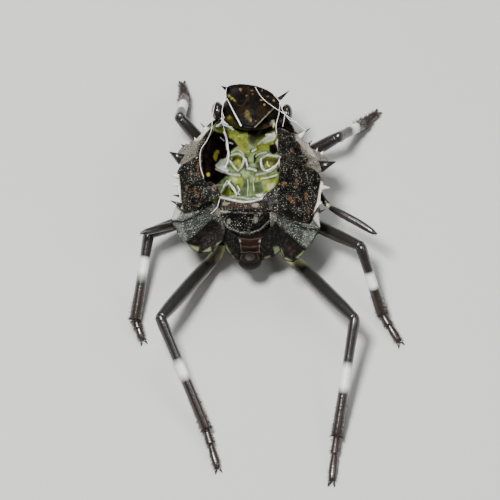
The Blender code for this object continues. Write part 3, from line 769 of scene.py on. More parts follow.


# The open thorax: raised lines as pixels, half width in pixels, rise and whiteness; a few short
# ones are painted highlights
TROUGH_LINES = [
    ([(224.1, 132.1), (225.9, 135.8), (227.1, 140.6), (226.8, 144.2), (227.4, 147.9),
      (228.6, 151.5), (228.3, 155.7), (227.1, 158.8)], 0.8, 0.2, 1),
    ([(228.6, 159.4), (231.4, 163.9), (234.4, 167.6), (237.7, 170.9)], 0.5, 0.15, 0.95),
    ([(242.9, 156.7), (244.6, 159.4), (243.5, 163.6), (241.7, 167.3),
      (238, 170.9)], 0.6, 0.18, 0.95),
    ([(230.4, 155.7), (233.8, 154.2), (238.6, 153.6), (242.9, 156.4)], 0.5, 0.12, 0.6),
    ([(231.4, 152.4), (236.2, 149.8), (241, 151.5), (244.4, 155.7)], 0.4, 0.1, 0.35),
    ([(247.4, 168.2), (252, 169.2), (256.2, 170.6)], 0.8, 0.2, 0.9),
    ([(279.8, 158.8), (278.6, 162.4), (275.6, 165.6), (271.9, 168), (267.7, 170.8),
      (264.1, 170.2), (261.6, 167.3), (260.7, 163.3), (261.6, 158.8), (264.7, 156.4),
      (267.7, 154.7)], 0.6, 0.2, 0.95),
    ([(267.1, 155.1), (273.2, 155.9), (279.1, 156.5)], 0.7, 0.18, 0.8),
    ([(255.9, 156.4), (259.2, 153.9), (263.5, 153), (266.5, 152.1)], 0.4, 0.12, 0.6),
    ([(276.8, 142.4), (278, 145.4), (279.1, 149.7)], 1.2, 0.2, 1),
    ([(279.1, 149.7), (280.1, 152.7), (280.7, 156.4), (279.8, 160), (278.9, 163.6),
      (280.7, 167.9)], 0.5, 0.15, 0.85),
    ([(216.2, 169.4), (221.1, 171.8), (227.7, 173.6), (233.8, 174.8),
      (239.8, 175.4)], 0.7, 0.15, 0.6),
    ([(256.2, 174.8), (264.7, 173.3), (270.7, 171.2), (276.2, 166.7)], 0.6, 0.15, 0.6),
    ([(261, 178.8), (267.1, 177.9), (273.2, 176.3), (276.5, 175.1)], 0.5, 0.12, 0.75),
    ([(230.7, 180), (225.9, 186), (221.1, 192.7)], 0.4, 0.1, 0.8),
    ([(229.5, 183.6), (233.8, 188.5), (235, 191.5), (236.5, 194.8)], 0.7, 0.15, 0.9),
    ([(237.4, 186), (239.8, 190.3), (237.4, 193.6)], 0.4, 0.1, 0.8),
    ([(216.2, 185.7), (222.3, 185.1), (228.3, 184.2)], 0.5, 0.1, 0.5),
    ([(221.7, 195.7), (228.9, 197.6), (233.8, 196.5), (241, 197.6), (247.7, 198.9),
      (255.6, 198.2), (261.6, 198.2), (266.8, 193.6)], 0.5, 0.15, 0.85),
    ([(254.1, 178.2), (253.2, 183.6), (254.1, 191.5)], 0.3, 0.08, 0.5),
    ([(247.7, 179.4), (248.2, 186.6), (247.4, 195.7)], 0.3, 0.08, 0.4),
    ([(217.4, 126.4), (222.3, 125.1), (228.9, 126.5), (233.2, 129.4)], 0.7, 0.15, 0.9),
    # A glint on the right flap: painted highlight
    ([(265.9, 134.8), (270.7, 134.5)], 0.6, 0.1, 0.9),
    # A glint on the keel: painted highlight
    ([(252.3, 151.2), (256.2, 149.4)], 0.5, 0.08, 0.8),
    ([(258, 144.2), (264.7, 140), (272.6, 136.4)], 0.9, 0.1, 0.3),
    # A sparkle beside the keel: painted highlight
    ([(245.6, 158.8), (246.5, 162.4), (247.4, 166)], 0.6, 0.12, 0.9),
    # Two streaks on the black wall: painted highlights
    ([(220.4, 137.6), (222.3, 139.4), (224.1, 140.6)], 0.4, 0.04, 0.45),
    ([(228.9, 142.4), (232.6, 143.6)], 0.4, 0.04, 0.45),
    ([(216.5, 166.3), (220.4, 170.3), (228, 173.3)], 0.4, 0.1, 0.8),
    ([(267.1, 161.8), (267.7, 164.8), (269.2, 166.3)], 0.4, 0.08, 0.8),
]
# Patches of colour between those lines, and of painted shade
TROUGH_BLACK_AND_SHADE = [
    [(205.9, 130), (215, 131.5), (224.1, 133.9), (228.9, 137.6), (233.8, 140), (238.6, 146.1),
     (233.8, 148.5), (230.1, 151.5), (227.7, 158.8), (221.1, 159.4), (215, 166), (216.2, 168.8),
     (201.1, 167.9), (201.1, 153.9), (202.3, 145.4)],
    [(201.1, 164.8), (216.2, 168.5), (228.9, 174.5), (224.1, 178.2), (217.4, 184.5),
     (213.2, 185.4), (202.3, 183)],
    # A hole and a slit in the membrane, black with painted shade
    [(269.5, 145.4), (276.8, 143), (278.3, 151.5), (273.2, 154.5), (269.2, 152.1)],
    [(254.1, 155.1), (255.9, 153.9), (256.2, 158.8), (255, 163.6), (253.5, 162.4)],
    [(228.9, 188.5), (233.8, 189.1), (233.8, 192.7), (231.4, 190.9)],
    [(276.8, 169.1), (279.8, 167.3), (279.2, 172.7), (276.5, 172.1)],
    [(279.5, 108), (300, 108), (300, 192.7), (281.6, 192.7), (281.6, 130), (279.5, 124)],
    [(206, 110), (222, 110), (219.5, 120), (214, 125.5), (206, 129)],
    # The shadow of the head on the neck: painted shadow
    [(247.7, 129.1), (260.4, 126.7), (258, 132.7), (248.3, 134.5)],
]
TROUGH_BROWN = [
    [(248, 132.1), (258.6, 130.9), (256.2, 140.6), (254.7, 146.7), (249.5, 144.2), (247.7, 140)],
    [(242.3, 161.8), (246.5, 164.8), (247.1, 168.5), (241.7, 168.8), (242.9, 166)],
    [(255.6, 162.4), (259.2, 161.8), (262.3, 168.5), (262.9, 172.7), (258, 171.5), (255, 167.3)],
    [(230.7, 156.4), (237.4, 155.7), (236.8, 159.4), (233.2, 161.2)],
    [(269.5, 159.4), (278, 158.8), (276.2, 164.8), (273.2, 164.8), (270.1, 162.4)],
    [(262.9, 126.1), (271.3, 126.7), (269.5, 131.5), (264.7, 133.9), (260.4, 135.8)],
    [(214, 119), (224, 119), (226, 124.5), (216, 126)],
]
# Dark green patches of painted shade in the hollows beside the keel and in a ring
TROUGH_SHADE = [
    [(242.3, 178.2), (247.4, 179.7), (247.1, 197.6), (238.6, 195.1), (240.1, 191.5),
     (242.9, 184.2)],
    [(254.4, 181.8), (261.9, 180.6), (263.8, 192.1), (256.8, 194.2), (254.7, 190.3)],
    [(236.8, 130), (242.3, 129.7), (243.5, 133.9), (239.8, 133.9)],
    [(261, 159.4), (263.5, 157.6), (264.1, 162.4), (262.3, 166)],
]
TROUGH_GREEN = [
    [(215.6, 127), (221.1, 127), (232.6, 130), (237.4, 129.1), (241.7, 127.9), (247.7, 129.1),
     (247.7, 140), (246.5, 144.2), (249.5, 153.9), (247.1, 155.7), (243.5, 152.1), (238.6, 146.1),
     (233.8, 140), (228.9, 137.6), (224.1, 134.5), (215.6, 129.1)],
    [(256.8, 138.2), (267.7, 132.1), (273.8, 130.3), (277.4, 135.1), (276.8, 140), (273.2, 143.9),
     (270.1, 148.5), (267.7, 151.5), (261.6, 150.9), (258, 154.5), (255.6, 156.4),
     (256.2, 146.7)],
    [(230.7, 155.7), (242.9, 157), (243.5, 161.2), (239.8, 167.9), (236.8, 169.1),
     (232.6, 162.4)],
    [(262.3, 159.4), (267.7, 155.7), (278.6, 158.2), (277.4, 162.4), (267.7, 169.7),
     (263.5, 168.5)],
    [(230.1, 175.7), (243.5, 177.6), (242.9, 184.2), (239.8, 191.5), (236.8, 186),
     (231.4, 180.6)],
    [(262.3, 180.6), (278, 178.2), (278, 183), (267.7, 192.7), (264.1, 192.1)],
    [(222.3, 188.5), (228.9, 187.3), (233.8, 192.7), (232.6, 195.4), (222.9, 195.1)],
    [(255.6, 176.3), (276.8, 174.5), (276.2, 178.2), (266.5, 180), (255.6, 180.6)],
    [(231.4, 152.1), (236.2, 150), (241.7, 152.1), (246.5, 155.7), (243.5, 156.4), (237.4, 153)],
]
TROUGH_SHEETS = [
    ([(260.4, 141.2), (267.7, 135.1), (273.8, 132.4), (276.5, 135.8), (273.8, 140),
      (264.7, 143.6)], 0.35),
    ([(216.2, 165.1), (221.1, 159.7), (228.3, 157.9), (228.9, 162.4), (226.5, 166.7),
      (228.9, 170.3), (226.5, 172.8), (221.1, 170.6), (216.8, 168.5)], 0.38),
    ([(217.4, 167.9), (220.4, 166), (226.5, 164.8), (227.7, 169.7), (228, 172.7),
      (221.7, 170.6)], 1),
    ([(255.9, 194.8), (263.2, 194.2), (261.6, 196.9), (257.4, 196.6)], 0.6),
    # The last two are faint painted sheens on the yellow-green floor beside the keel
    ([(267.1, 183), (275, 183), (273.8, 187.9), (267.7, 189.7)], 0.12),
    ([(228.9, 178.2), (237.4, 178.5), (236.8, 181.2), (229.5, 180.6)], 0.12),
]
TROUGH_YELLOW = [(217.6, 152.1, 1.8, 2.0), (215.6, 156.5, 2.0, 4.0), (208.5, 174.8, 1.6, 1.9),
                 (240.0, 166.0, 1.3, 1.8), (240.1, 146.7, 2.4, 1.3)]


def colour_property(name, description, code):
    """A colour that a user may change, with an sRGB hex value as its default."""
    return FloatVectorProperty(
        name=name, description=description, default=linear(code),
        subtype="COLOR", size=3, min=0, max=1,
    )


class SkinSettings(bpy.types.PropertyGroup):
    """Sizes and colours that a user would change"""

    wall: FloatProperty(
        name="Wall", description="Thickness of the drawn cuticle",
        default=WALL * MM, min=0.01 * MM, max=0.5 * MM, unit="LENGTH",
    )
    thread: FloatProperty(
        name="Thread", description="Half width of the finest white threads",
        default=0.011 * MM, min=0.005 * MM, max=0.05 * MM, unit="LENGTH",
    )
    bristles: IntProperty(
        name="Bristles", description="Bristles on each long stretch of a leg",
        default=150, min=0, max=600,
    )
    green: colour_property("Membrane", "Brightest green inside the thorax", "#7b8130")
    ring: colour_property("Rings", "Colour of the rings of the shins", "#e4e4da")
    floor_colour: colour_property("Floor", "Colour of the floor", "#b5b5b2")


def paint_pixels(*layers):
    """Attribute painters that read a point's pixel: pairs of name and function."""
    def painter(mark):
        return lambda co: min(max(mark(*pixel_of(co.x, co.y, co.z)), 0.0), 1.0)
    return {name: painter(mark) for name, mark in layers}


def edge_mark(pixels, width, keep=None):
    """Mark a strip along an outline, where keep says so."""
    closed = [*pixels, pixels[0]]

    def mark(column, row):
        if keep and not keep(column, row):
            return 0.0
        return smooth_step((width + 0.7 - line_distance(closed, column, row)) / 1.4)
    return mark


class BackOperator(bpy.types.Operator):
    """Model the four plates of the split back with their thorns"""

    bl_idname = "shed_skin.back"
    bl_label = "Back plates"

    def execute(self, context):
        cuticle = granulated_cuticle()

        def dust_left(column, row):
            return 0.62 * patch(GREY_LEFT, column, row, 2)

        def dust_right(column, row):
            return 0.66 * patch(GREY_RIGHT, column, row, 2)

        plates = [
            ("pronotum_left_skin", PRONOTUM_LEFT, prothorax_left, RUST_LEFT, dust_left,
             [(LIP_LEFT, 0.1, 3), (HIND_LEFT, 0.1, 2)], "pronotum_left",
             lambda c, r: 0.75 * patch(PALE_LEFT, c, r)),
            ("pronotum_right_skin", PRONOTUM_RIGHT, prothorax_right, RUST_RIGHT, dust_right,
             [(LIP_RIGHT, 0.14, 3), (HIND_RIGHT, 0.1, 2)], "pronotum_right",
             lambda c, r: 0.6 * patch(PALE_RIGHT, c, r) * (0.6 + 0.4 * ruffle(c, r, 2.5))),
            ("mesonotum_left_skin", MESONOTUM_LEFT, mesothorax_left, RUST_LEFT, None,
             [(PAD_RIDGE_LEFT, 0.1, 3)], "mesonotum_left",
             lambda c, r: patch(MARGIN_LEFT, c, r, 0.7)),
            ("mesonotum_right_skin", MESONOTUM_RIGHT, mesothorax_right, RUST_RIGHT, None,
             [(PAD_RIDGE_RIGHT, 0.12, 2)], "mesonotum_right",
             lambda c, r: patch(MARGIN_RIGHT, c, r, 0.7)),
        ]
        for name, pixels, surface, rust, dust, ridges, node, pale in plates:
            outline = rounded(plan_of(pixels, surface), 3)
            edge = edge_mark(pixels, 0.2)

            # Rust-brown spots, and rust-brown lines along the ridges and the outline; these lines
            # are partly painted highlights
            def brown(column, row, rust=rust, ridges=ridges, edge=edge):
                lines = max(stripe(line[0], column, row, 0.3) for line in ridges)
                return max(0.9 * spot(rust, column, row), 0.55 * lines, 0.5 * edge(column, row))

            layers = [("rust", brown), ("pale", pale)]
            if dust:
                layers.append(("dust", dust))
            bm = sheet_mesh(outline, raised(surface, ridges, (0.02, 0.16), (0.05, 0.6, 3.0)))
            finish_piece(name, bm, cuticle, [node],
                         paint_pixels(*layers), sheet=True)
        self.thorns()
        return {"FINISHED"}

    def thorns(self):
        """Thorns of the edges: root and tip in pixels, plate and half width."""
        pale = plain_cuticle("cream_thorn_cuticle", "#d6d2bb", "#a09d8c", 0.45)
        dark = plain_cuticle("black_thorn_cuticle", "#15110e", "#0f0c0a", 0.3, 0.3)
        lists = {
            "pale_thorns": (pale, "pale_cuticle", [
                ((179, 176.8), (171.2, 175.3), mesothorax_left, 0.1),
                ((179.5, 185), (172.8, 184.5), mesothorax_left, 0.09),
                ((321, 187), (329.7, 187.9), mesothorax_right, 0.12),
                ((299, 137), (306, 130.5), prothorax_right, 0.1),
                ((321, 154), (323.5, 151), prothorax_right, 0.07),
                ((319, 203.4), (322, 202.3), mesothorax_right, 0.06),
                ((205.5, 130), (206, 125), prothorax_left, 0.1),
                ((196, 140.5), (194.5, 137.5), prothorax_left, 0.06),
                ((189, 144), (186.5, 141.5), prothorax_left, 0.06),
                ((316, 151.5), (317.5, 148), prothorax_right, 0.05),
            ]),
            "dark_thorns": (dark, "black_cuticle", [
                ((182, 159.5), (169.8, 152.2), prothorax_left, 0.23),
                ((184.5, 146.5), (181, 144.3), prothorax_left, 0.06),
                ((206, 128.5), (200, 122.8), prothorax_left, 0.05),
                ((179.5, 195.8), (172.6, 195.3), mesothorax_left, 0.06),
                ((182, 205.5), (170.4, 200.6), mesothorax_left, 0.1),
                ((320, 166.5), (335.5, 162), prothorax_right, 0.24),
                ((305, 131.5), (310.5, 128.2), prothorax_right, 0.05),
                ((308.8, 144), (312.2, 140.4), prothorax_right, 0.05),
                ((315.5, 213.3), (325.5, 209.2), mesothorax_right, 0.08),
            ]),
        }
        for name, (finish, slot, thorns) in lists.items():
            bm = bmesh.new()
            for root, tip, plate, radius in thorns:
                foot = on_surface(*root, plate) - Vector((0, 0, WALL / 2))
                cone_mesh(bm, foot, at_height(*tip, foot.z + 0.02), radius, 10, 0.08)
            finish_piece(name, bm, finish, [])


class TroughOperator(bpy.types.Operator):
    """Model the open underside of the thorax, its ridges, sockets and inner walls"""

    bl_idname = "shed_skin.trough"
    bl_label = "Thorax floor"

    def execute(self, context):
        def lines_at(column, row):
            """Height of the raised lines, how white they are, and the shade beside them."""
            rise = white = beside = 0.0
            for points, half, high, colour in TROUGH_LINES:
                if far_from(points, column, row, half + 4):
                    continue
                away = line_distance(points, column, row)
                rise = max(rise, high * math.exp(-(away / (half + 0.6))**2))
                white = max(white, colour * smooth_step((half + 0.42 - away) / 0.9))
                beside = max(beside, colour * math.exp(-((away - half - 1.3) / 0.9)**2))
            return rise, white, beside

        sockets = ((270.2, 163.2, 7.5, 6.2), (237.2, 161.5, 6, 6), (228, 191.5, 5, 4.5))

        def height(x, y):
            z = trough_base(x, y)
            column, row = pixel_of(x, y, z)
            hollow = max(
                smooth_step((1 - math.hypot((column - a) / wide, (row - b) / high)) / 0.3)
                for a, b, wide, high in sockets
            )
            return z + lines_at(column, row)[0] - 0.25 * hollow + 0.03 * ruffle(x, y, 0.25)

        def within(patches, column, row, blur=0.8):
            return max(patch(corners, column, row, blur) for corners in patches)

        def pale(column, row):
            sheet = max(white * patch(corners, column, row) for corners, white in TROUGH_SHEETS)
            line = lines_at(column, row)[1] * (0.9 + 0.5 * ruffle(column, row, 5.0, 5.0))
            return max(line, sheet * (0.9 + 0.4 * ruffle(column, row, 1.6)))

        def shade(column, row):
            deep = 0.8 * within(TROUGH_SHADE, column, row, 1.8)
            return max(0.7 * lines_at(column, row)[2], deep)

        layers = paint_pixels(
            ("pale", pale),
            ("shade", shade),
            # ink: the black walls, and painted shade in holes and under the head
            ("ink", lambda c, r: within(TROUGH_BLACK_AND_SHADE, c, r)),
            ("olive", lambda c, r: 0.9 * within(TROUGH_GREEN, c, r, 1.1)),
            ("brown", lambda c, r: 0.75 * within(TROUGH_BROWN, c, r, 1.6)),
            ("yellow", lambda c, r: spot(TROUGH_YELLOW, c, r)),
        )
        outline = rounded([
            (1.75, 0.6), (1.75, 1.8), (1.75, 2.8), (1.65, 3.55), (1.2, 4.1), (0, 4.3),
            (-1.15, 4.0), (-1.55, 3.5), (-1.75, 2.8), (-1.75, 1.8), (-1.75, 0.6), (0, 0.35),
        ])
        bm = sheet_mesh(outline, height, 0.021)
        finish_piece("trough_membrane", bm, trough_membrane(), ["thorax_floor"],
                     layers, sheet=True)
        self.outside()
        return {"FINISHED"}

    def outside(self):
        """The underside of the thorax, with the leg bases."""
        cuticle = granulated_cuticle()
        outline = rounded([
            (1.0, -0.3), (1.5, -0.55), (1.85, -0.75), (1.97, 0.3), (1.97, 1.4), (1.95, 2.7),
            (1.7, 3.55), (1.2, 4.08), (0, 4.28), (-1.15, 3.98), (-1.6, 3.5), (-1.95, 2.7),
            (-1.97, 1.4), (-1.97, 0.3), (-1.85, -0.75), (-1.5, -0.55), (-1.0, -0.3), (0, -0.1),
        ])

        def grey(co):
            return 0.7 * smooth_step((1.3 - abs(co.x)) / 0.8)

        finish_piece("thorax_underside_skin", sheet_mesh(outline, thorax_outside, 0.04), cuticle,
                     [], {"dust": grey}, sheet=True)
        bm = bmesh.new()
        for places in LEGS.values():
            x, y, _ = places[0]
            ball(bm, (x, y, BASE_HEIGHT), (BASE_SIZE, BASE_SIZE, BASE_SIZE), 24, 16)
        finish_piece("leg_bases", bm, cuticle, [], {"dust": lambda co: 0.5})


class AbdomenOperator(bpy.types.Operator):
    """Model the drawn-in abdomen: band, gland plate, pleated fans, tail and belly"""

    bl_idname = "shed_skin.abdomen"
    bl_label = "Abdomen"

    def execute(self, context):
        self.middle_plates()
        self.fans()
        self.rear()
        self.belly()
        return {"FINISHED"}

    def middle_plates(self):
        """The band behind the opening and the half-round gland plate."""
        cuticle = granulated_cuticle()
        rim = [(219, 197), (230, 199.5), (242, 202), (252, 201.5), (266, 197.5)]
        fold = [(221, 211.4), (233.9, 212.4), (248, 213.3), (262.8, 213.5)]
        arc = [(220.6, 217.5), (228, 227.3), (240.5, 232.6), (250, 233), (260.3, 229.3),
               (268.8, 220.8)]
        corner = [(218.6, 209.6), (230, 211), (226, 213), (220, 213)]
        band_brown = [(222, 201), (235, 203.5), (250, 205), (262, 203), (262, 209), (225, 208)]
        bare = [(262, 213), (270, 213), (269, 221), (260, 229), (250, 232), (252, 226), (260, 224)]

        band = raised(back_centre, [(rim, 0.07, 2)], (0.015, 0.15))
        bm = sheet_mesh(rounded(plan_of(BAND, back_centre), 3), band)
        finish_piece("metanotum_band_skin", bm, cuticle, ["metanotum_band"],
                     paint_pixels(
                         ("pale", lambda c, r: max(stripe(rim, c, r, 0.9),
                                                   0.24 * spot(SPOTS_BAND, c, r))),
                         ("rust", lambda c, r: 0.25 * patch(band_brown, c, r, 2))),
                     sheet=True)
        gland = raised(back_centre, [(fold, 0.06, 1.8)], (0.02, 0.15), lift=-0.06)
        bm = sheet_mesh(rounded(plan_of(GLAND_PLATE, back_centre), 3), gland)
        finish_piece("gland_plate_skin", bm, cuticle, ["gland_plate"],
                     paint_pixels(
                         # The pale stripe along the front fold is a painted highlight
                         ("pale", lambda c, r: max(0.3 * stripe(fold, c, r, 0.2, 0.6),
                                                   0.5 * stripe(arc, c, r, 0.15, 0.6),
                                                   0.4 * patch(corner, c, r),
                                                   0.18 * spot(SPOTS_GLAND, c, r))),
                         ("ink", lambda c, r: 0.9 * patch(bare, c, r, 2))), sheet=True)

    def fans(self):
        """The pleated sides, each with a ridge, a seam, a folded part and its marks."""
        cuticle = fan_cuticle()
        fans = [
            dict(
                pixels=FAN_LEFT, node="abdomen_fan_left", cover=MESONOTUM_LEFT,
                crest=[(220, 212), (212.2, 218.9), (185.6, 243.5)],
                seam=[(172, 221.8), (184, 221.7), (194.4, 217.8), (206, 209)],
                pleat=[(185.6, 243.5), (212.2, 218.9), (222, 225), (226, 242), (213, 256),
                       (190, 254)],
                olive=[[(187.5, 244.2), (199.3, 247.4), (198, 252.6), (191.5, 248.6)],
                       [(203, 251.8), (210.6, 247), (211.3, 251.2)],
                       [(214.6, 250), (217, 243.6), (222.4, 241)]],
                rust=[(195, 241, 2.2, 1.5), (209.5, 240, 1.5, 2.2), (203, 239.5, 1.2, 1.6),
                      (206, 244, 1.4, 2.0), (211, 233, 1.5, 1.5)],
                pale=[[(176, 207), (181, 212), (177, 219), (172, 220)]],
                strip=[(213, 208), (221, 208), (222, 217), (217, 216)],
                dust=[[(172, 221.5), (177, 212), (192, 212), (193, 216.5), (184, 221)],
                      [(175, 223), (181, 224), (188, 238), (185, 243), (181, 242)]],
            ),
            dict(
                pixels=FAN_RIGHT, node="abdomen_fan_right", cover=MESONOTUM_RIGHT,
                crest=[(270, 218), (278.3, 225), (307.2, 250.5)],
                seam=[(288, 219.5), (296, 224), (304, 228.3), (318.5, 230.5)],
                pleat=[(307.2, 250.5), (278.3, 225), (272, 219), (268, 228), (280, 262),
                       (294, 266)],
                olive=[[(296, 257.3), (303.5, 250.6), (305.6, 252), (297, 258.6)],
                       [(284.2, 257.6), (287, 258), (291.6, 260.6), (284.6, 260)],
                       [(281, 248), (283, 255), (284, 259.5), (280.8, 252)]],
                rust=[(294, 251, 1.6, 1.2), (289.5, 248, 1.4, 1.6), (291, 254, 1.6, 1.2),
                      (286, 240, 1.4, 1.4)],
                pale=[[(314.5, 213), (318.5, 213), (319.6, 227.5), (313, 219)]],
                strip=[(268, 212), (277.5, 212), (276, 219), (273, 226), (268, 226)],
                # The second patch is a lighter painted sheen on the right fan's outer side
                dust=[[(302, 221.5), (312, 222), (319, 228), (312, 229), (303, 226)],
                      [(304, 231), (316, 232), (308, 248), (300, 243)]],
            ),
        ]
        for spec in fans:

            def height(x, y, spec=spec):
                z = fan_base(x, y)
                column, row = pixel_of(x, y, z)
                z += 0.26 * ridge(spec["crest"], column, row, 6)
                z -= 0.14 * ridge(spec["seam"], column, row, 2.2)
                roof = (mesothorax_left if x < 0 else mesothorax_right)(x, y) - 0.15
                covered = patch(spec["cover"], column, row, 2)
                z += covered * min(0.0, roof - z)
                return z + 0.012 * ruffle(x, y, 0.12)

            # The dark seam and pleat; their black is partly painted shade
            def fold(column, row, spec=spec):
                return max(stripe(spec["seam"], column, row, 0.7),
                           patch(spec["pleat"], column, row, 0.8))

            def patches(key, column, row, spec=spec):
                return max(patch(corners, column, row) for corners in spec[key])

            layers = paint_pixels(
                ("fold", fold),
                ("dust", lambda c, r, f=patches: f("dust", c, r)),
                ("pale", lambda c, r, f=patches, spec=spec: max(
                    0.42 * f("pale", c, r), 0.05 * patch(spec["strip"], c, r))),
                ("olive", lambda c, r, f=patches: 0.95 * f("olive", c, r)),
                ("rust", lambda c, r, spec=spec: max(0.1 * spot(spec["rust"], c, r),
                                                     0.12 * patch(spec["strip"], c, r))),
                ("ink", edge_mark(spec["pixels"], 0.5, lambda c, r: r > 228)),
            )
            bm = sheet_mesh(plan_of(spec["pixels"], fan_base), height)
            finish_piece(spec["node"] + "_skin", bm, cuticle, [spec["node"]],
                         layers, sheet=True)

    def rear(self):
        """The last segments: a dark lobe at each side of a brown middle and its end."""
        cuticle = brown_cuticle()
        dark = fan_cuticle()

        furrows = [[(236, 236), (250, 238), (264, 236)], [(239, 244), (250, 245.5), (261, 244)],
                   [(240, 250), (250, 251.5), (259.6, 250)]]

        def bed(x, y):
            """The surface on which the last segments lie."""
            rearward = max(0, -0.6 - y)
            return min(back_centre(x, y), fan_base(x, y)) - 0.28 - 0.55 * rearward

        corners = [(231.7, 233.9, 1.6, 1.2), (239.4, 241.2, 1.6, 1.2), (260.4, 241.2, 1.6, 1.2),
                   (267.6, 233.3, 1.5, 1.3)]
        vee = [[(239.4, 242), (241, 249.5), (238, 259)], [(260.6, 242), (259.2, 249.5),
               (262.6, 257.5)]]
        centre = raised(bed, [(line, -0.09, 1.3) for line in furrows], (0.03, 0.2), lift=-0.05)
        bm = sheet_mesh(rounded(plan_of(TAIL_CENTRE, bed), 3), centre)
        finish_piece("tail_skin", bm, cuticle, ["tail_plates"],
                     paint_pixels(
                         ("pale", lambda c, r: max(0.6 * stripe(vee[0], c, r, 0.25),
                                                   0.6 * stripe(vee[1], c, r, 0.25),
                                                   0.75 * spot(corners, c, r))),
                         ("rust", lambda c, r: 0.09 * spot([(250, 238, 9, 4), (250, 247, 7, 3)],
                                                           c, r))), sheet=True)
        lobes = {
            "left": (LOBE_LEFT, [(226, 226), (231, 240), (233, 252), (232, 259)],
                     [[(223.4, 242.5), (226, 244), (231, 254), (229.5, 255.5), (225, 249)],
                      [(231.5, 255), (234.5, 257.5), (235.5, 260), (231.5, 258.4)]]),
            "right": (LOBE_RIGHT, [(272, 228), (270, 241), (269, 252), (270, 259)],
                      [[(273, 247), (279, 246.5), (280.8, 250.8), (275, 255)],
                       [(264.5, 257.5), (270, 255.8), (271.5, 258), (265, 260)]]),
        }
        for side, (pixels, crest, pale) in lobes.items():
            lobe = raised(bed, [(crest, 0.12, 3)], (0.02, 0.15), lift=0.04)
            bm = sheet_mesh(plan_of(pixels, bed), lobe)
            finish_piece("tail_lobe_" + side + "_skin", bm, dark, [],
                         paint_pixels(
                             ("fold", lambda c, r: 0.93),
                             ("olive", lambda c, r, pale=pale: 0.9 * max(
                                 patch(corners, c, r, 0.8) for corners in pale)),
                             ("ink", edge_mark(pixels, 0.5, lambda c, r: r > 242))),
                         sheet=True)
        self.end(cuticle)

    def end(self, cuticle):
        """The ringed dome at the end of the body, with the pale lines of its facets."""
        bm = bmesh.new()
        bmesh.ops.create_uvsphere(bm, u_segments=64, v_segments=48, radius=1.0)
        middle = Vector((0.0, -1.36, 1.96))
        for vert in bm.verts:
            x, y, z = vert.co
            ring = 1 + 0.012 * math.cos(16 * math.hypot(x, y + 0.1))
            vert.co = middle + Vector((x * 0.44, y * 0.36, z * 0.42 * ring))
        facet = [(240.4, 259), (242.6, 253), (249.8, 251.4), (257, 253), (259.4, 259)]

        def facets(column, row):
            ripple = 0.5 + 0.5 * math.cos(1.9 * math.hypot((column - 249.8) * 0.75, row - 256.6))
            return max(0.35 * stripe(facet, column, row, 0.25, 0.6), 0.04 * ripple)

        finish_piece("anal_end_skin", bm, cuticle, ["anal_end"],
                     paint_pixels(("pale", facets),
                                  ("ink", lambda c, r: 0.5 + 0.45 * smooth_step((r - 260) / 4))))

    def belly(self):
        """The underside of the abdomen, which also closes the thorax behind."""
        bm = bmesh.new()
        bmesh.ops.create_uvsphere(bm, u_segments=48, v_segments=30, radius=1.0)
        for vert in bm.verts:
            steps = 0.02 * math.cos(22 * vert.co.y)
            vert.co = Vector((vert.co.x * (1.58 + steps), vert.co.y * 0.8 + 0.02,
                              2.35 + vert.co.z * (0.95 + steps)))
        finish_piece("belly_skin", bm, brown_cuticle(), ["abdomen_underside"])


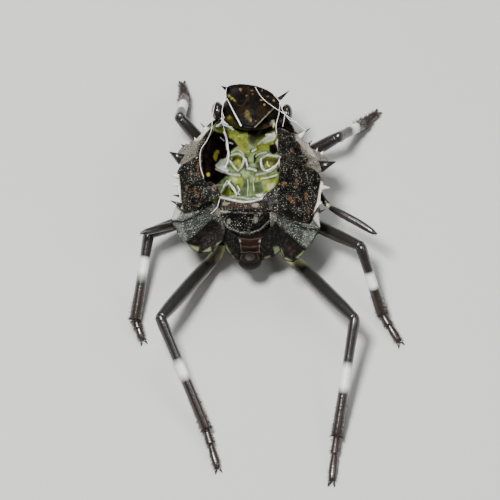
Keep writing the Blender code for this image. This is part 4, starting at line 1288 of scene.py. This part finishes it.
class HeadOperator(bpy.types.Operator):
    """Model the head: crown, cheeks, eyes, thorns, feelers and beak"""

    bl_idname = "shed_skin.head"
    bl_label = "Head"

    def execute(self, context):
        cuticle = head_cuticle()
        orange = [(240.3, 89.2, 1.3, 0.7), (241, 91.3, 0.6, 1.2), (261.4, 100.4, 1.2, 0.6),
                  (264.3, 105, 0.8, 1.1), (273.9, 100.7, 0.8, 1.2)]
        faint = [(252.1, 90.7, 1.2, 0.6), (252.9, 93.9, 1.0, 0.6), (262, 90.9, 0.8, 0.5),
                 (267.9, 96.4, 1.2, 0.6), (269.2, 112.4, 1.0, 0.6), (246.4, 96, 0.7, 0.9),
                 (255.7, 121.4, 0.7, 0.6), (258.5, 93.2, 0.5, 0.7), (270.5, 104.4, 0.6, 0.5)]
        green = [(229, 96, 1.3, 1.1), (232, 98.6, 1.8, 0.7), (234.4, 100.6, 0.8, 0.9),
                 (250.6, 120.6, 0.7, 1.5)]
        dull = [(247.2, 114.6, 2.2, 4.2), (249.6, 119, 1.4, 2.6)]
        streak = [(228.6, 95), (231.5, 98), (235.6, 101.5)]

        def olive(column, row):
            mottled = 0.22 * spot(dull, column, row) * (1 + 0.9 * ruffle(column, row, 1.4))
            return max(mottled, 0.6 * stripe(streak, column, row, 0.4),
                       0.8 * spot(green, column, row))

        loop = [(234.4, 101), (236, 103), (237.9, 105.7), (242, 106.3), (245, 103.6), (247.2, 99),
                (246.6, 95)]
        veins = [[(260, 106), (263.6, 109.5), (264, 116)], [(247, 112), (250.6, 121), (252, 125)],
                 [(248.2, 86.5), (248.8, 93), (248.4, 101)]]
        arm = [(274.3, 108.6), (265, 117.5), (255, 127.5)]
        outline = rounded(plan_of(CROWN, head_top), 3)
        closed = [*outline, outline[0]]

        def brown(column, row):
            lines = max(stripe(line, column, row, 0.4) for line in (loop, *veins))
            return max(0.9 * lines, 0.25 * spot([(245, 112, 8, 6), (262, 113, 6, 6)], column, row))

        def height(x, y):
            lip = 0.05 * ridge(closed, x, y, 0.07)
            return head_top(x, y) + lip + 0.03 * ruffle(x, y, 0.4) + 0.012 * ruffle(x, y, 0.12)

        bm = sheet_mesh(outline, height, 0.035)
        finish_piece("crown_skin", bm, cuticle, ["head_crown"],
                     paint_pixels(("rust", lambda c, r: max(0.72 * spot(orange, c, r),
                                                            0.4 * spot(faint, c, r))),
                                  ("brown", brown),
                                  # The pale line along the right arm of the V is partly a painted
                                  # highlight on its edge
                                  ("pale", lambda c, r: 0.5 * stripe(arm, c, r, 0.2, 0.6)),
                                  ("olive", olive)),
                     sheet=True)
        self.cheeks(cuticle)
        self.eyes()
        self.thorns(cuticle)
        self.feelers()
        return {"FINISHED"}

    def cheeks(self, cuticle):
        """The sides and the underside of the head, with the bulge below the right eye."""
        bm = bmesh.new()
        bmesh.ops.create_uvsphere(bm, u_segments=64, v_segments=44, radius=1.0)
        centre = Vector((0.05, 4.55, 2.72))
        for vert in bm.verts:
            x, y, z = vert.co
            wide = 1.2 if y < 0 else 1.2 - 0.22 * y
            deep = 0.98 if y > 0 else 0.87
            place = centre + Vector((x * wide, y * deep, z * 0.78 - y * 0.3))
            roof = head_top(place.x, place.y) - 0.09
            place.z = min(place.z, roof)
            place.z += 0.02 * ruffle(place.x, place.y, 0.2)
            vert.co = place
        marks = [(229.3, 118, 2.2, 1.3)]
        green_part = [(224, 117), (232, 119), (240, 127.5), (240, 134), (222, 128)]
        ball(bm, (1.2, 3.98, 2.72), (0.36, 0.34, 0.5), 40, 28)
        white_part = [(271.2, 121), (273.2, 120.4), (275.2, 124.6), (273.6, 128), (271.2, 127.6)]
        finish_piece("head_capsule_skin", bm, cuticle, ["head_capsule"],
                     paint_pixels(
                         ("pale", lambda c, r: 0.9 * patch(white_part, c, r, 0.7)),
                         ("olive", lambda c, r: max(0.6 * spot(marks, c, r),
                                                    0.15 * patch(green_part, c, r, 2))),
                         ("rust", lambda c, r: 0.25 * spot([(265.5, 129, 4, 4)], c, r))))

    def eyes(self):
        """The two empty eyes at the sides of the head."""
        finish = eye_shell()
        eyes = {"left": (-1.24, 4.42, 3.02), "right": (1.4, 4.32, 3.02)}
        for side, place in eyes.items():
            bm = bmesh.new()
            ball(bm, place, (0.22, 0.36, 0.33), 36, 24)
            finish_piece("eye_" + side + "_shell", bm, finish, ["eye_" + side])

    def thorns(self, cuticle):
        """The thorn at each side of the head: root and tip in pixels, and height."""
        bm = bmesh.new()
        for root, tip, z in (((277, 101), (289.5, 90.5), 3.0), ((228, 90), (221, 86), 2.95)):
            cone_mesh(bm, at_height(*root, z), at_height(*tip, z), 0.1, 10, 0.06)
        finish_piece("head_thorns", bm, cuticle, [])

    def feelers(self):
        """Antennae, by the stations of their four segments, and the beak."""
        finish = limb_cuticle()
        feelers = {
            "right": [
                [(1.2, 4.55, 2.0, 0.1), (1.5, 4.2, 2.1, 0.12), (1.62, 4.0, 2.12, 0.1)],
                [(1.66, 3.95, 2.12, 0.09), (2.0, 3.4, 2.14, 0.11), (2.3, 2.5, 2.0, 0.12)],
                [(2.33, 2.4, 2.0, 0.09), (2.62, 1.5, 2.05, 0.11), (2.9, 0.86, 2.3, 0.12)],
                [(2.98, 0.7, 2.38, 0.09), (3.4, 0.34, 2.6, 0.14), (4.1, -0.13, 2.7, 0.15),
                 (4.6, -0.49, 2.74, 0.11), (4.79, -0.62, 2.75, 0.03)],
            ],
            "left": [
                [(-1.15, 4.55, 2.0, 0.1), (-1.5, 4.2, 2.1, 0.12), (-1.62, 4.0, 2.1, 0.1)],
                [(-1.66, 3.95, 2.1, 0.09), (-2.0, 3.4, 2.1, 0.11), (-2.3, 2.5, 1.95, 0.12)],
                [(-2.32, 2.4, 1.95, 0.09), (-2.35, 1.5, 1.9, 0.11), (-2.4, 0.9, 1.93, 0.12)],
                [(-2.46, 0.7, 1.96, 0.09), (-2.83, 0.1, 2.15, 0.14), (-3.4, -0.25, 2.5, 0.15),
                 (-3.9, -0.52, 2.76, 0.12), (-4.14, -0.64, 2.86, 0.03)],
            ],
        }
        for side, segments in feelers.items():
            bm = bmesh.new()
            for index, stations in enumerate(segments):
                pale_at = 0.9 if index else 0.0
                bar_mesh(bm, smooth_path(stations), 12, None, "olive",
                         lambda t, p=pale_at: p * smooth_step((0.08 - t) / 0.06))
            for before, after in zip(segments, segments[1:]):
                bar_mesh(bm, [(*before[-1][:3], 0.06), (*after[0][:3], 0.06)], 10, None,
                         "olive", lambda t: 0.9)
            rng = random.Random(5)
            hairs_on(bm, smooth_path(segments[3]), 90, 0.07, rng)
            finish_piece("antenna_" + side + "_skin", bm, finish,
                         ["antenna_" + side])
        bm = bmesh.new()
        bar_mesh(bm, smooth_path([(0, 4.95, 1.75, 0.2), (0, 4.2, 1.15, 0.14), (0, 3.2, 0.6, 0.1),
                                  (0, 1.95, 0.5, 0.05)]), 14, None, "olive", lambda t: 0.0)
        finish_piece("beak_skin", bm, finish, ["beak"])


HAIR_LEAN = 0.6             # share of a bristle's direction that goes along the limb
HAIR_LOWEST = 0.01          # height of the lowest tip, so that none goes through the floor


def hairs_on(bm, stations, count, length, rng, radius=0.008, start=0.0):
    """Set short bristles over a bar from a share of its length on, leaning to its far end."""
    last = len(stations) - 1
    for _ in range(count):
        t = start + (1 - start) * rng.random()
        place = t * last
        i = min(int(place), last - 1)
        here = Vector(stations[i]).lerp(Vector(stations[i + 1]), place - i)
        line = (Vector(stations[i + 1][:3]) - Vector(stations[i][:3])).normalized()
        side = line.orthogonal().normalized()
        angle = rng.uniform(0, 2 * math.pi)
        out = Matrix.Rotation(angle, 3, line) @ side
        root = Vector(here[:3]) + out * here[3] * 0.9
        size = length * rng.uniform(0.6, 1.3)
        tip = root + (out + line * HAIR_LEAN * rng.uniform(0.5, 1.5)).normalized() * size
        if tip.z >= HAIR_LOWEST:
            cone_mesh(bm, root, tip, radius, 3, 0.1)


# Legs in the body's own frame: hip, bend of the thigh, knee, ankle, toe
LEGS = {
    "fore_left": [(-0.85, 2.98, 0.85), (-1.4, 3.6, 0.8), (-2.66, 4.62, 1.95),
                  (-2.5, 6.2, 0.42), (-2.58, 6.9, 0.13)],
    "fore_right": [(0.95, 2.85, 0.85), (1.6, 3.3, 0.8), (3.3, 3.8, 1.95), (4.3, 5.1, 0.42),
                   (4.82, 5.68, 0.13)],
    "middle_left": [(-0.9, 1.6, 0.85), (-1.6, 1.25, 0.8), (-3.84, -0.22, 1.9),
                    (-4.35, -3.1, 0.42), (-4.08, -3.8, 0.13)],
    "middle_right": [(0.9, 1.5, 0.85), (1.6, 1.15, 0.8), (4.2, -0.88, 2.2), (5.0, -2.85, 0.42),
                     (5.63, -3.88, 0.13)],
    "hind_left": [(-0.9, 0.3, 0.85), (-1.3, -0.6, 0.75), (-3.38, -3.9, 2.3),
                  (-1.65, -7.65, 0.42), (-1.24, -9.12, 0.13)],
    "hind_right": [(0.9, 0.3, 0.85), (1.5, -0.6, 0.75), (3.95, -3.95, 2.3), (3.27, -7.95, 0.42),
                   (3.08, -9.66, 0.13)],
}
BASE_HEIGHT = 1.0           # middle of the ball at each hip, and its half size
BASE_SIZE = 0.3
# Pale ring of each shin, from knee (0) to ankle (1), and the row of the photograph where
# the pale base of a hind thigh ends
RINGS = {
    "fore_left": (0.32, 0.68), "fore_right": (0.48, 0.72), "middle_left": (0.27, 0.51),
    "middle_right": (0.36, 0.63), "hind_left": (0.385, 0.57), "hind_right": (0.395, 0.6),
}
PALE_THIGH = {"hind_left": 262, "hind_right": 267}


class LegsOperator(bpy.types.Operator):
    """Model the six legs with their rings, feet, claws and bristles"""

    bl_idname = "shed_skin.legs"
    bl_label = "Legs"

    def execute(self, context):
        finish = limb_cuticle()
        rng = random.Random(11)
        count = context.scene.shed_skin.bristles
        for label, places in LEGS.items():
            hip, thigh, knee, ankle, toe = map(Vector, places)
            self.thigh(label, hip, thigh, knee, finish, rng, count)
            self.shin(label, knee, ankle, finish, rng, count)
            self.foot(label, ankle, toe, finish, rng, count)
        return {"FINISHED"}

    def thigh(self, label, hip, thigh, knee, finish, rng, count):
        """A thigh with its first bend, thickest before the knee, and pale at a hind base."""
        bm = bmesh.new()
        stout = 0.28 if label.startswith("hind") else 0.25
        stations = smooth_path([
            (*hip, 0.2), (*hip.lerp(thigh, 0.5), 0.2), (*thigh, 0.23),
            (*thigh.lerp(knee, 0.4), stout), (*thigh.lerp(knee, 0.8), stout * 0.94),
            (*knee, 0.2),
        ])
        last_row = PALE_THIGH.get(label, 0)
        bar_mesh(bm, stations, 18)
        hairs_on(bm, stations, count // 2, 0.09, rng, start=0.4)
        finish_piece(label + "_femur_skin", bm, finish, [label + "_femur"],
                     paint_pixels(("olive", lambda c, r: smooth_step((last_row - r) / 5))))

    def shin(self, label, knee, ankle, finish, rng, count):
        """A blunt three-sided shin with its pale ring, furry towards the foot."""
        bm = bmesh.new()
        stations = smooth_path([
            (*knee.lerp(ankle, -0.02), 0.17), (*knee.lerp(ankle, 0.05), 0.21),
            (*knee.lerp(ankle, 0.3), 0.19), (*knee.lerp(ankle, 0.7), 0.2),
            (*knee.lerp(ankle, 0.96), 0.21), (*ankle, 0.17),
        ])
        low, high = RINGS[label]
        line = ankle - knee

        def ring(co):
            t = (co - knee).dot(line) / line.length_squared
            return 0.95 * min(smooth_step((t - low) / 0.03), smooth_step((high - t) / 0.03))

        def brown(co):
            t = (co - knee).dot(line) / line.length_squared
            return 0.6 * smooth_step((t - high) / 0.2)

        def prism(t, angle):
            return 1 + 0.07 * math.cos(3 * angle + 1.5)

        bar_mesh(bm, stations, 18, prism)
        hairs_on(bm, stations, count, 0.1, rng)
        hairs_on(bm, stations, count * 2, 0.14, rng, 0.01, start=0.6)
        finish_piece(label + "_tibia_skin", bm, finish, [label + "_tibia"],
                     {"pale": ring, "brown": brown})

    def foot(self, label, ankle, toe, finish, rng, count):
        """A furry foot of two stretches, with two claws that nearly reach the floor."""
        bm = bmesh.new()
        ahead = (toe - ankle).normalized()
        waist = ankle.lerp(toe, 0.42)
        first = smooth_path([(*ankle, 0.12), (*ankle.lerp(toe, 0.2), 0.15),
                             (*ankle.lerp(toe, 0.4), 0.17)], 5)
        second = smooth_path([(*waist, 0.12), (*ankle.lerp(toe, 0.7), 0.155),
                              (*ankle.lerp(toe, 0.95), 0.13), (*toe, 0.06)], 5)
        for stretch in (first, second):
            bar_mesh(bm, [(*p[:2], max(p[2], p[3]), p[3]) for p in stretch], 14)
            hairs_on(bm, stretch, count, 0.12, rng, 0.01)
        across = Vector((-ahead.y, ahead.x, 0)).normalized()
        for side in (-1, 1):
            root = toe - ahead * 0.05 + across * side * 0.03
            bend = toe + ahead * 0.14 + across * side * 0.1
            tip = toe + ahead * 0.22 + across * side * 0.13
            bend.z, tip.z = 0.14, 0.03
            bar_mesh(bm, smooth_path([(*root, 0.045), (*bend, 0.035), (*tip, 0.008)], 4), 8)
        finish_piece(label + "_tarsus_skin", bm, finish, [label + "_tarsus"],
                     {"brown": lambda co: 0.7})


class ThreadsOperator(bpy.types.Operator):
    """Model the white linings of the air tubes that hang in the open skin"""

    bl_idname = "shed_skin.threads"
    bl_label = "White threads"

    def execute(self, context):
        finish = plain_cuticle("white_tube_lining", "#f1f1ea", "#b4b4af", 0.25, 0.4)
        # column, row and height of each bend, first of the fine ones, then of the thick ones
        threads = [
            [(226.6, 88, 3.3), (224, 101, 3.5), (222, 113, 3.5), (223, 124, 3.3), (226, 136, 2.9)],
            [(221.6, 91, 3.2), (216, 101, 3.5), (212.5, 116, 3.7), (211.8, 129, 3.9),
             (207.6, 140, 4.2), (201, 151, 4.3), (200.6, 166, 4.45), (204, 178, 4.45)],
            [(255, 87, 3.3), (262, 98, 3.6), (273, 107, 3.5), (284, 114, 3.5), (296, 123, 3.5),
             (306, 131, 3.5)],
            [(280, 100, 3.4), (279, 113, 3.6), (276, 126, 3.7), (277, 136, 3.6)],
            [(285, 112, 3.5), (284, 120, 3.5), (282.5, 127, 3.6)],
            [(273, 94, 3.4), (279.6, 102, 3.5), (282.6, 111, 3.6), (286, 116, 3.6)],
            [(285.6, 115, 3.6), (290, 120.6, 3.5), (297, 122, 3.4)],
            [(223, 188, 2.2), (228, 181, 2.4), (233, 190, 2.2), (240, 195, 2.3)],
            [(221, 197, 3.9), (219, 202, 4.05), (217, 208, 4.0), (211, 214, 3.8)],
            [(222, 113, 3.5), (224, 118, 3.4), (221, 123, 3.5), (216, 127, 3.6)],
        ]
        thick = [
            [(224.4, 132, 2.6), (227, 140, 2.3), (228.2, 149, 2.1), (228.6, 158, 2.0),
             (225, 168, 2.1)],
            [(277.6, 139, 2.6), (278.4, 148, 2.4), (280.2, 155, 2.3), (279.5, 163, 2.3)],
            [(222, 124, 3.3), (226, 126, 3.1), (232, 127.5, 2.9)],
        ]
        fine = context.scene.shed_skin.thread / MM
        bm = bmesh.new()
        for lines, radius, sides in ((threads, fine, 8), (thick, 2 * fine, 10)):
            for points in lines:
                stations = [(*at_height(*p), radius) for p in points]
                bar_mesh(bm, smooth_path(stations, 8), sides)
        arm = [(226.6, 98.5, 0.012), (233, 111.5, 0.022), (237, 119, 0.026), (241.2, 127, 0.03)]
        stations = []
        for column, row, radius in arm:
            place = on_surface(column, row, head_top)
            stations.append((place.x, place.y, head_top(place.x, place.y) + 0.05, radius))
        bar_mesh(bm, smooth_path(stations, 8), 10)
        finish_piece("air_tube_linings", bm, finish, [])
        return {"FINISHED"}


# The stage: half width of the floor, colour and strength of the room, and the lamps with
# their places and widths in metres and their power in watts
FLOOR_HALF = 1.5
ROOM_COLOUR = "#f7fbff"
ROOM_STRENGTH = 0.16
LAMP_TARGET = (0, 0.002, 0.002)
LAMPS = [
    ("key", (-0.02, -0.012, 0.1), 0.02, 0.22),
    ("fill", (0.07, -0.02, 0.08), 0.05, 0.03),
    ("sky", (0.0, 0.06, 0.11), 0.06, 0.06),
]


class StageOperator(bpy.types.Operator):
    """Make the pale floor, the soft lights and the camera"""

    bl_idname = "shed_skin.stage"
    bl_label = "Stage"

    def execute(self, context):
        self.floor(context.scene.shed_skin.floor_colour)
        self.lights(context.scene)
        self.camera(context.scene)
        return {"FINISHED"}

    def floor(self, colour):
        """A pale matt card, far wider than the view."""
        bm = bmesh.new()
        bmesh.ops.create_grid(bm, x_segments=1, y_segments=1, size=FLOOR_HALF)
        mesh = bpy.data.meshes.new("floor")
        bm.to_mesh(mesh)
        bm.free()
        floor = bpy.data.objects.new("floor", mesh)
        bpy.context.scene.collection.objects.link(floor)
        made, tree = new_material("pale_card")
        dress(tree, (*colour, 1), {"Roughness": 0.8})
        mesh.materials.append(made)

    def lights(self, scene):
        """A dim room and three round lamps that aim at the head end of the back."""
        world = bpy.data.worlds.new("soft_room")
        scene.world = world
        world.use_nodes = True
        room = world.node_tree.nodes["Background"]
        fill(world.node_tree, room.inputs["Color"], ROOM_COLOUR)
        fill(world.node_tree, room.inputs["Strength"], ROOM_STRENGTH)
        for name, place, size, power in LAMPS:
            light = bpy.data.lights.new(name, "AREA")
            light.shape = "DISK"
            light.size = size
            light.energy = power
            lamp = bpy.data.objects.new(name, light)
            lamp.location = place
            aim = Vector(LAMP_TARGET) - Vector(place)
            lamp.rotation_euler = aim.to_track_quat("-Z", "Y").to_euler()
            scene.collection.objects.link(lamp)

    def camera(self, scene):
        """The camera at the photograph's viewing angle, far away so that sizes hold."""
        data = bpy.data.cameras.new("camera")
        data.sensor_width = SENSOR
        data.lens = SENSOR * CAMERA_DISTANCE / FRAME_WIDTH
        data.clip_start = 0.01
        data.clip_end = 10
        camera = bpy.data.objects.new("camera", data)
        target = metres((0, 0, 0))
        away = Vector((0, -math.cos(ELEVATION), math.sin(ELEVATION)))
        camera.location = target + away * CAMERA_DISTANCE * MM
        camera.rotation_euler = (-away).to_track_quat("-Z", "Y").to_euler()
        scene.collection.objects.link(camera)
        scene.camera = camera


class SkinPanel(bpy.types.Panel):
    """Buttons and settings in the 3D view's sidebar"""

    bl_idname = "VIEW3D_PT_shed_skin"
    bl_label = "Shed skin"
    bl_space_type = "VIEW_3D"
    bl_region_type = "UI"
    bl_category = "Shed skin"

    def draw(self, context):
        """List the settings and the operators."""
        settings = context.scene.shed_skin
        for name in SkinSettings.__annotations__:
            self.layout.prop(settings, name)
        for operator in OPERATORS:
            self.layout.operator(operator.bl_idname)


OPERATORS = (
    TroughOperator, BackOperator, AbdomenOperator, HeadOperator, LegsOperator,
    ThreadsOperator, StageOperator,
)
CLASSES = (SkinSettings, *OPERATORS, SkinPanel)


def register():
    """Make the settings, operators and panel known to Blender."""
    for cls in CLASSES:
        bpy.utils.register_class(cls)
    bpy.types.Scene.shed_skin = PointerProperty(type=SkinSettings)


def unregister():
    """Take them out again."""
    del bpy.types.Scene.shed_skin
    for cls in reversed(CLASSES):
        bpy.utils.unregister_class(cls)


def main():
    """Build every piece and the stage."""
    register()
    bpy.ops.shed_skin.trough()
    bpy.ops.shed_skin.back()
    bpy.ops.shed_skin.abdomen()
    bpy.ops.shed_skin.head()
    bpy.ops.shed_skin.legs()
    bpy.ops.shed_skin.threads()
    bpy.ops.shed_skin.stage()


if __name__ == "__main__":
    main()
